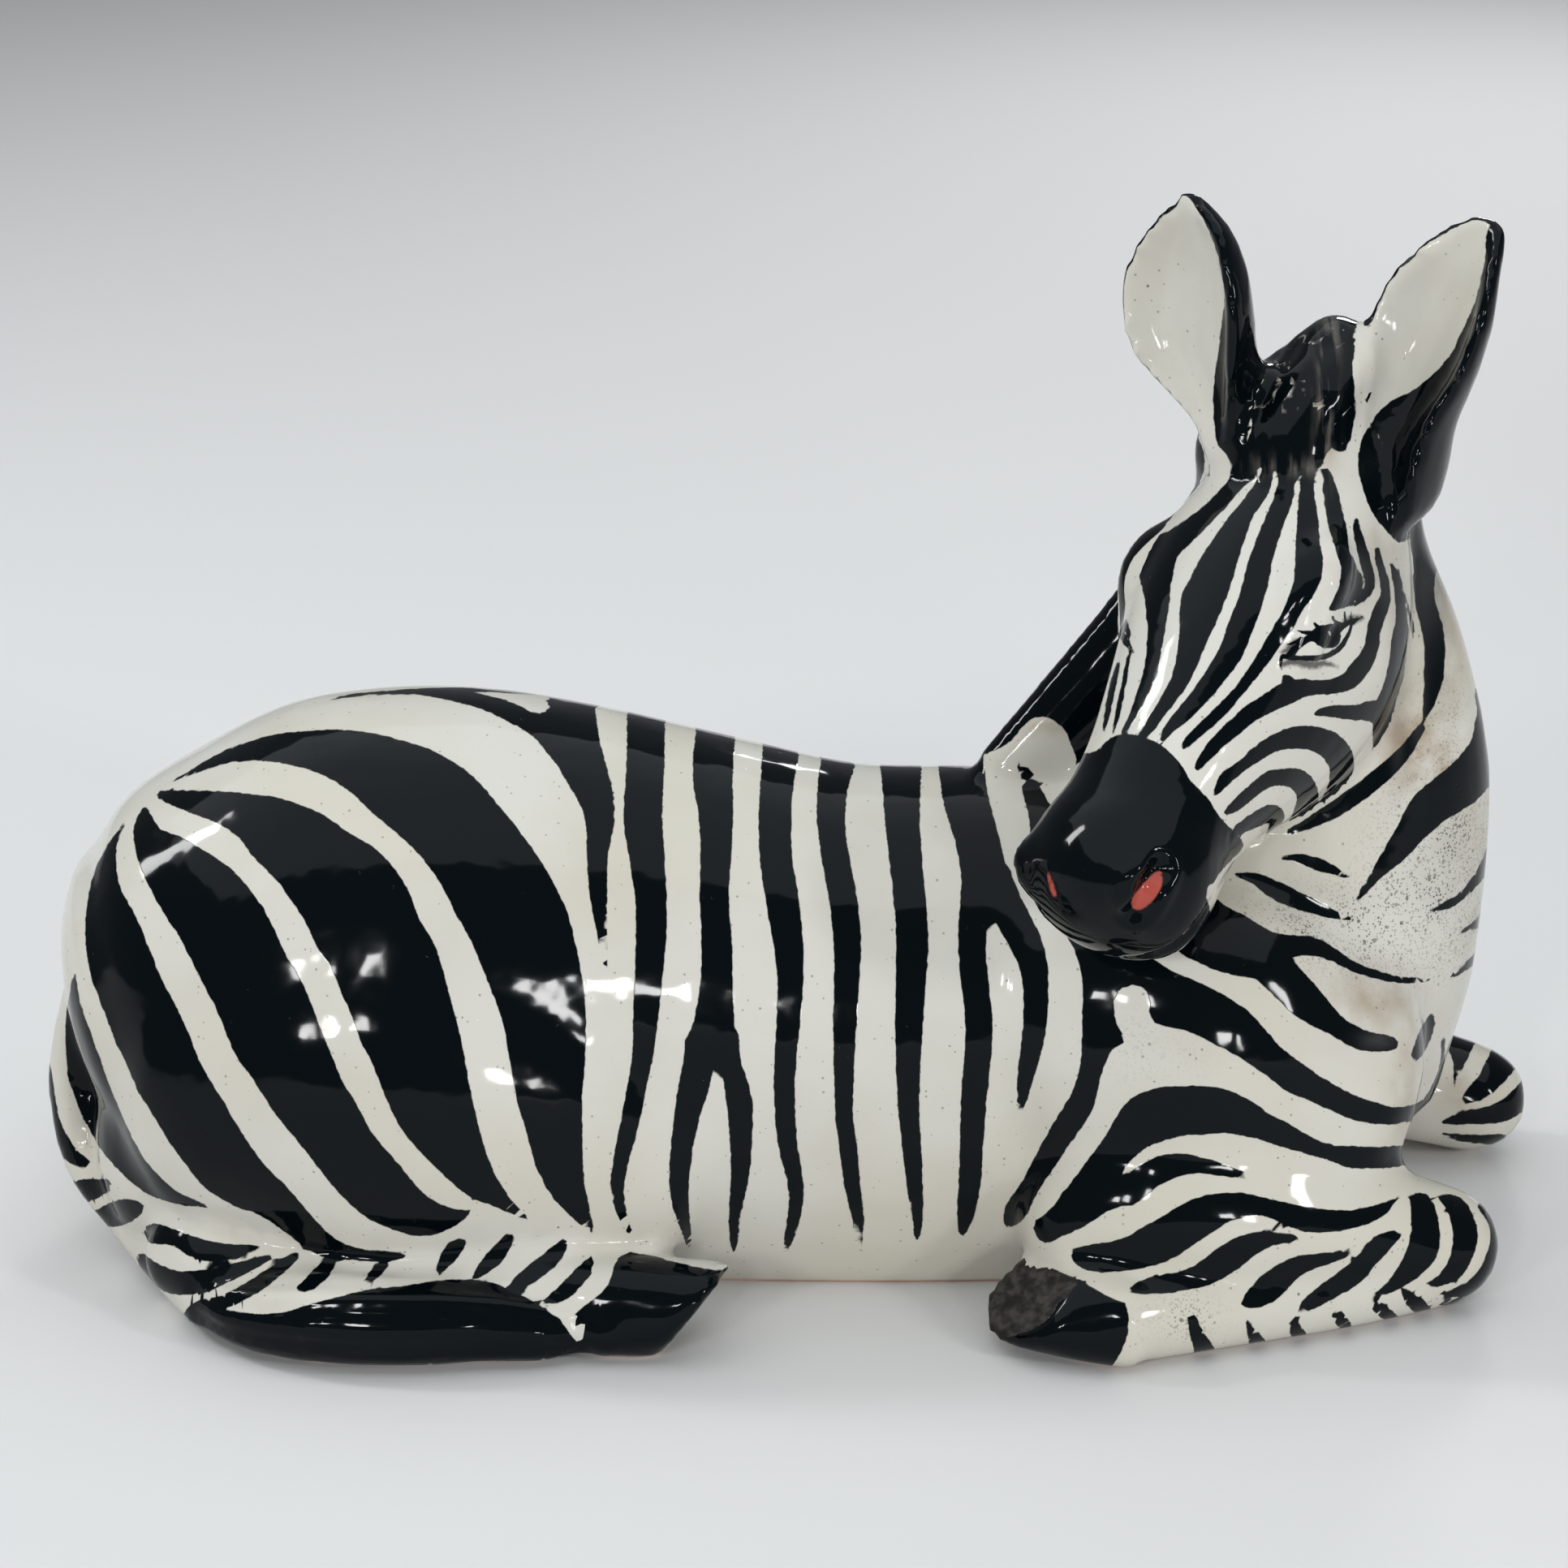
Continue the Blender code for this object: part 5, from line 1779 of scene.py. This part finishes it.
class BrushEdge:
    """The edge of brushed paint: a distance is shaken a little and cut off softly."""

    NAME = "brush_edge"

    @classmethod
    def group(cls) -> bpy.types.NodeTree:
        """Builds the node group.

        Returns:
            The group.
        """
        tree = bpy.data.node_groups.new(cls.NAME, "ShaderNodeTree")
        board = Board(tree)
        board.takes("NodeSocketVector", "Vector")
        board.takes("NodeSocketFloat", "Distance", "Ragged", "Scale", "Soft")
        board.gives("NodeSocketFloat", "Mask")
        given = board.node("NodeGroupInput").outputs
        shake = board.noise(given["Vector"], given["Scale"], 3.0)
        wander = board.times(board.less(shake, 0.5), board.times(given["Ragged"], 2.0))
        gap = board.sum(given["Distance"], wander)
        low = board.times(given["Soft"], -1.0)
        mask = board.ramp(gap, low, given["Soft"], 1.0, 0.0)
        board.node("NodeGroupOutput", {"Mask": mask})
        return tree


class Flecks:
    """Small scattered flecks, as of iron specks, sponged paint or pinholes."""

    NAME = "flecks"

    @classmethod
    def group(cls) -> bpy.types.NodeTree:
        """Builds the node group.

        Returns:
            The group.
        """
        tree = bpy.data.node_groups.new(cls.NAME, "ShaderNodeTree")
        board = Board(tree)
        board.takes("NodeSocketVector", "Vector")
        board.takes("NodeSocketFloat", "Scale", "Amount", "Size")
        board.gives("NodeSocketFloat", "Mask")
        given = board.node("NodeGroupInput").outputs
        cells = board.node("ShaderNodeTexVoronoi", {"Vector": given["Vector"], "Scale": given["Scale"]})
        lot = board.node("ShaderNodeSeparateColor", {0: cells.outputs["Color"]}).outputs
        chosen = board.maths("LESS_THAN", lot[0], given["Amount"])
        size = board.times(given["Size"], board.sum(board.times(lot[1], 0.8), 0.4))
        near = board.ramp(cells.outputs["Distance"], board.times(size, 0.7), size, 1.0, 0.0)
        board.node("NodeGroupOutput", {"Mask": board.times(chosen, near)})
        return tree


# The figure


@dataclass(frozen=True)
class Refinement:
    """Where the skin needs more points: within a ball, in drawn millimetres."""

    centre: Row
    radius: float


@dataclass
class Figure:
    """The whole animal as one glazed skin."""

    head: Head = field(default_factory=Head)
    mane: Mane = field(default_factory=Mane)
    tail: Tail = field(default_factory=Tail)
    trunk: Trunk = field(default_factory=Trunk)
    hind: HindLeg = field(default_factory=HindLeg)
    mass_voxel: float = 3.0
    mass_rounds: int = 16
    skin_voxel: float = 2.65
    skin_rounds: int = 3
    ground_cut: float = 0.02
    crease: float = 60.0
    middle: Row = (6.07, -6.37)
    reach: float = 30.0
    arm_gap: float = 4.0
    arm_from: float = 30.0
    arm_top: float = 56.0
    head_balls: tuple[Refinement, ...] = (Refinement((-10, 82, -4), 72.0),)
    eye_balls: tuple[Refinement, ...] = (Refinement((-34, 57, 6), 14.0),)
    ear_balls: tuple[Refinement, ...] = (Refinement((107, -6, 286), 42.0), Refinement((178, -18, 282), 42.0))
    hair_balls: tuple[Refinement, ...] = (Refinement((143, -10, 256), 27.0),)
    head_rounds: int = 2
    eye_rounds: tuple[int, ...] = (2, 3)
    ear_rounds: int = 8
    hair_rounds: int = 14
    trees: dict[str, BVHTree] = field(default_factory=dict)

    def remember(self, region: str, parts: Sequence[Form]) -> list[Form]:
        """Keeps the shape of some forms, to know later which points of the skin are theirs.

        Args:
            region: Whose they are.
            parts: The forms.

        Returns:
            The same forms.
        """
        points, faces = [], []
        for part in parts:
            first = len(points)
            points += [v.co.copy() for v in part.data.vertices]
            faces += [tuple(first + k for k in p.vertices) for p in part.data.polygons]
        self.trees[region] = BVHTree.FromPolygons(points, faces)
        return list(parts)

    def shape(self) -> Form:
        """Casts the animal from its forms.

        Returns:
            One skin.
        """
        masses = self.trunk.forms() + [NEAR_FORELEG.upper()]
        self.remember("fore", masses[-1:])
        masses += self.remember("far_arm", [FAR_FORELEG.upper()])
        parts = self.remember("body", [cast("body", masses, self.mass_voxel, self.mass_rounds)])
        parts += self.remember("mane", [self.mane.crest.build(), self.mane.topknot.build()])
        parts += self.remember("forelock", [self.mane.forelock.build()])
        parts += self.remember("head", [self.head.form()])
        parts += self.remember("ear", [ear.build() for ear in EARS])
        near_cannon, near_hoof = NEAR_FORELEG.lower()
        far_cannon, far_hoof = FAR_FORELEG.lower()
        hind = [self.hind.forms(side) for side in Side]
        parts += self.remember("cannon", [near_cannon])
        parts += self.remember("far_fore", [far_cannon])
        hooves = [near_hoof, far_hoof] + [leg[1] for leg in hind] + [leg[2] for leg in hind]
        parts += self.remember("hoof", hooves)
        parts += self.remember("hind", [leg[0] for leg in hind])
        parts += self.remember("dock", [self.tail.dock.build()])
        parts += self.remember("tuft", [self.tail.tuft.build()])
        return cast(NODE, parts, self.skin_voxel, self.skin_rounds)

    def flatten(self, figure: Form) -> None:
        """Cuts the figure off at the ground and closes the cut with flat clay.

        Args:
            figure: The skin.
        """
        work = bmesh.new()
        work.from_mesh(figure.data)
        everything = work.verts[:] + work.edges[:] + work.faces[:]
        bmesh.ops.bisect_plane(
            work, geom=everything, dist=self.ground_cut * MM,
            plane_co=(0, 0, 0), plane_no=(0, 0, -1), clear_outer=True,
        )
        rim = [e for e in work.edges if e.is_boundary]
        filled = bmesh.ops.holes_fill(work, edges=rim, sides=0)["faces"]
        for vert in {v for e in rim for v in e.verts}:
            vert.co.z = 0.0
        bmesh.ops.triangulate(work, faces=filled)
        bmesh.ops.recalc_face_normals(work, faces=work.faces[:])
        for edge in rim:
            edge.smooth = False
        work.to_mesh(figure.data)
        work.free()

    def refine(
        self, figure: Form, balls: Sequence[Refinement], rounds: int, place: Place = None,
        all_points: bool = False, finer: bool = True,
    ) -> None:
        """Adds points to the skin within some balls, and rounds the new facets off.

        Args:
            figure: The skin.
            balls: Where.
            rounds: How often the points are softened.
            place: The frame that the balls are written in, if not the figure's.
            all_points: Whether the old points within the balls are softened too.
            finer: Whether points are added.
        """
        centres = [(Vector(placed(np.array(b.centre) * MM, place)), b.radius * MM) for b in balls]

        def inside(vert: bmesh.types.BMVert) -> bool:
            """Tells whether a point lies in one of the balls."""
            return any((vert.co - centre).length < radius for centre, radius in centres)

        work = bmesh.new()
        work.from_mesh(figure.data)
        edges = [e for e in work.edges if finer and inside(e.verts[0]) and inside(e.verts[1])]
        made = bmesh.ops.subdivide_edges(work, edges=edges, cuts=1, use_grid_fill=True) if edges else {}
        soft = [g for g in made.get("geom_inner", ()) if isinstance(g, bmesh.types.BMVert)]
        bmesh.ops.triangulate(work, faces=[f for f in work.faces if len(f.verts) > 4])
        if all_points:
            soft = [v for v in work.verts if inside(v)]
        for _ in range(rounds):
            bmesh.ops.smooth_vert(
                work, verts=soft, factor=HALF, use_axis_x=True, use_axis_y=True, use_axis_z=True
            )
        work.to_mesh(figure.data)
        work.free()

    def carve(self, figure: Form, finish: bpy.types.Material) -> None:
        """Presses in the flutes of the hair, the lids, the mouth and the nostrils.

        Args:
            figure: The skin.
            finish: The material that it keeps.
        """
        head = self.head
        flutes = self.mane.forelock.lines(self.mane.lock_shares)
        Carving("forelock", 4.0, 0.4).press(figure, flutes, finish)
        Carving("tuft", 3.0, 1.2).press(figure, self.tail.tuft.lines(self.tail.lock_shares), finish)
        lids = head.lines(head.upper_lid) + head.lines(head.lower_lid)
        Carving("lids", 3.6, 1.0).press(figure, lids, finish)
        Carving("lips", 3.4, 2.2).press(figure, head.lines(head.lips), finish)
        Carving("nostrils", 6.0, 4.5).press(figure, head.lines(head.nostril), finish)
        Carving("nostril_lips", 3.6, -0.7).press(figure, head.lines(head.nostril_lip), finish)

    def territories(self, figure: Form) -> Territories:
        """Finds which form each point of the skin lies nearest to.

        Args:
            figure: The skin.

        Returns:
            Who owns what.
        """
        spots = [vert.co for vert in figure.data.vertices]

        def gap(tree: BVHTree) -> np.ndarray:
            """Measures from every point to one form."""
            hits = (tree.find_nearest(spot, self.reach * MM)[3] for spot in spots)
            return np.array([self.reach if hit is None else hit / MM for hit in hits])

        names = list(self.trees)
        gaps = np.array([gap(tree) for tree in self.trees.values()])
        nearest = np.argmin(gaps, axis=0)
        own = {name: nearest == row for row, name in enumerate(names)}
        edge = {}
        for row, name in enumerate(names):
            edge[name] = 0.5 * (gaps[row] - np.delete(gaps, row, axis=0).min(axis=0))
        places = vectors(figure.data.vertices, "co") / MM
        arm = own["body"] & (gaps[names.index("far_arm")] < self.arm_gap)
        arm &= (places[:, 1] > self.arm_from) & (places[:, 2] < self.arm_top)
        arm |= own.pop("far_arm")
        own["body"] &= ~arm
        far_hoof = own["hoof"] & (places[:, 0] > 0) & (places[:, 1] > 0)
        own["far_fore"] |= arm | far_hoof
        own["hoof"] &= ~far_hoof
        hollow = np.full(len(spots), self.reach)
        for ear in EARS:
            hollow = np.minimum(hollow, 0.5 * (gap(ear.sheet(True)) - gap(ear.sheet(False))))
        return Territories(own, edge, hollow)

    def build(self, glaze: Glaze, painter: Painter) -> Form:
        """Makes the dressed figure and sets it down where the solid stands.

        Args:
            glaze: Its finish.
            painter: Who paints it.

        Returns:
            The finished piece.
        """
        figure = self.shape()
        self.flatten(figure)
        face = self.head.frame()
        self.refine(figure, self.head_balls, self.head_rounds, face)
        self.refine(figure, self.ear_balls, self.ear_rounds, all_points=True)
        self.refine(figure, self.hair_balls, self.hair_rounds, all_points=True, finer=False)
        finish = glaze.build()
        self.carve(figure, finish)
        for rounds in self.eye_rounds:
            self.refine(figure, self.eye_balls, rounds, face, all_points=True)
        painter.paint(figure, self.territories(figure))
        figure.data.transform(Matrix.Translation((-self.middle[0] * MM, -self.middle[1] * MM, 0.0)))
        figure.data.materials.clear()
        figure.data.materials.append(finish)
        figure.data.shade_smooth()
        figure.data.set_sharp_from_angle(angle=math.radians(self.crease))
        figure.name = figure.data.name = "zebra_glazed"
        return figure


# The studio


@dataclass(frozen=True)
class SoftLight:
    """A rectangular soft light that looks at the figure, as bright as its radiance says."""

    name: str
    place: Row
    size: Row
    radiance: float
    colour: Row = (1.0, 1.0, 1.0)
    aim: Row = (0.0, 0.0, 0.12)

    def build(self) -> None:
        """Hangs the light, which the camera itself doesn't see."""
        lamp = bpy.data.lights.new(self.name, "AREA")
        lamp.shape = "RECTANGLE"
        lamp.size, lamp.size_y = self.size
        lamp.energy = self.radiance * math.pi * self.size[0] * self.size[1]
        lamp.color = self.colour
        obj = bpy.data.objects.new(self.name, lamp)
        obj.location = self.place
        obj.rotation_euler = (Vector(self.aim) - Vector(self.place)).to_track_quat("-Z", "Y").to_euler()
        obj.visible_camera = False
        bpy.context.scene.collection.objects.link(obj)


@dataclass(frozen=True)
class Studio:
    """A plain pale floor, soft light and the camera."""

    view: Viewpoint
    middle: Row
    floor_half: float = 3.0
    floor_colour: Row = (0.72, 0.72, 0.715)
    floor_roughness: float = 0.9
    room_colour: Row = (0.9, 0.93, 1.0)
    room_strength: float = 0.18
    nearest: float = 0.05
    lights: tuple[SoftLight, ...] = (
        SoftLight("ceiling", (-0.2, 0.1, 1.3), (3.0, 1.9), 1.05, (0.93, 0.98, 1.0), (-0.2, 0.1, 0.0)),
        SoftLight("pane_left", (-1.05, -1.75, 0.78), (0.14, 0.18), 62.0),
        SoftLight("pane_left_high", (-0.86, -1.8, 0.84), (0.08, 0.2), 62.0),
        SoftLight("pane_middle", (-0.48, -1.9, 0.93), (0.13, 0.17), 62.0),
        SoftLight("pane_right", (0.62, -1.95, 0.36), (0.16, 0.16), 62.0),
        SoftLight("pane_right_low", (0.86, -1.85, 0.28), (0.08, 0.2), 55.0),
        SoftLight("pane_side", (1.5, -1.15, 0.8), (0.14, 0.36), 55.0),
        SoftLight("pane_far_left", (-1.6, 0.35, 1.25), (0.2, 0.5), 30.0),
        SoftLight("pane_back", (0.6, 1.9, 0.9), (0.4, 0.4), 16.0),
    )

    def floor(self) -> None:
        """Lays the floor."""
        half = self.floor_half
        mesh = bpy.data.meshes.new("floor")
        corners = [(-half, -half, 0), (half, -half, 0), (half, half, 0), (-half, half, 0)]
        mesh.from_pydata(corners, [], [(0, 1, 2, 3)])
        floor = linked("floor", mesh)
        material = bpy.data.materials.new("floor")
        material.use_nodes = True
        shader = material.node_tree.nodes["Principled BSDF"]
        shader.inputs["Base Color"].default_value = (*self.floor_colour, 1.0)
        shader.inputs["Roughness"].default_value = self.floor_roughness
        mesh.materials.append(material)

    def camera(self) -> None:
        """Sets the camera up where the photograph was taken from."""
        view = self.view
        data = bpy.data.cameras.new("camera")
        data.sensor_width = view.sensor
        data.lens = view.focal * view.sensor / view.frame
        data.clip_start = self.nearest
        camera = bpy.data.objects.new("camera", data)
        tilt = math.radians(view.elevation)
        back = Vector((0.0, -math.cos(tilt), math.sin(tilt)))
        x, y, z = view.target
        target = Vector((x - self.middle[0], y - self.middle[1], z)) * MM
        camera.location = target + back * view.distance * MM
        camera.rotation_euler = (-back).to_track_quat("-Z", "Y").to_euler()
        bpy.context.scene.collection.objects.link(camera)
        bpy.context.scene.camera = camera

    def build(self) -> None:
        """Sets the whole studio up."""
        self.floor()
        self.camera()
        for light in self.lights:
            light.build()
        world = bpy.data.worlds.new("studio")
        world.use_nodes = True
        background = world.node_tree.nodes["Background"]
        background.inputs["Color"].default_value = (*self.room_colour, 1.0)
        background.inputs["Strength"].default_value = self.room_strength
        bpy.context.scene.world = world
        bpy.context.scene.view_settings.view_transform = "Standard"


def main() -> None:
    """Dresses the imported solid."""
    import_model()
    view = Viewpoint()
    figure = Figure()
    Studio(view, figure.middle).build()
    piece = figure.build(Glaze(), Painter(view, figure.head))
    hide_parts(NODE)
    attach(piece, "root")
    log.info("%s: %d faces", piece.name, len(piece.data.polygons))


if __name__ == "__main__":
    logging.basicConfig(level=logging.INFO, format="%(message)s")
    main()
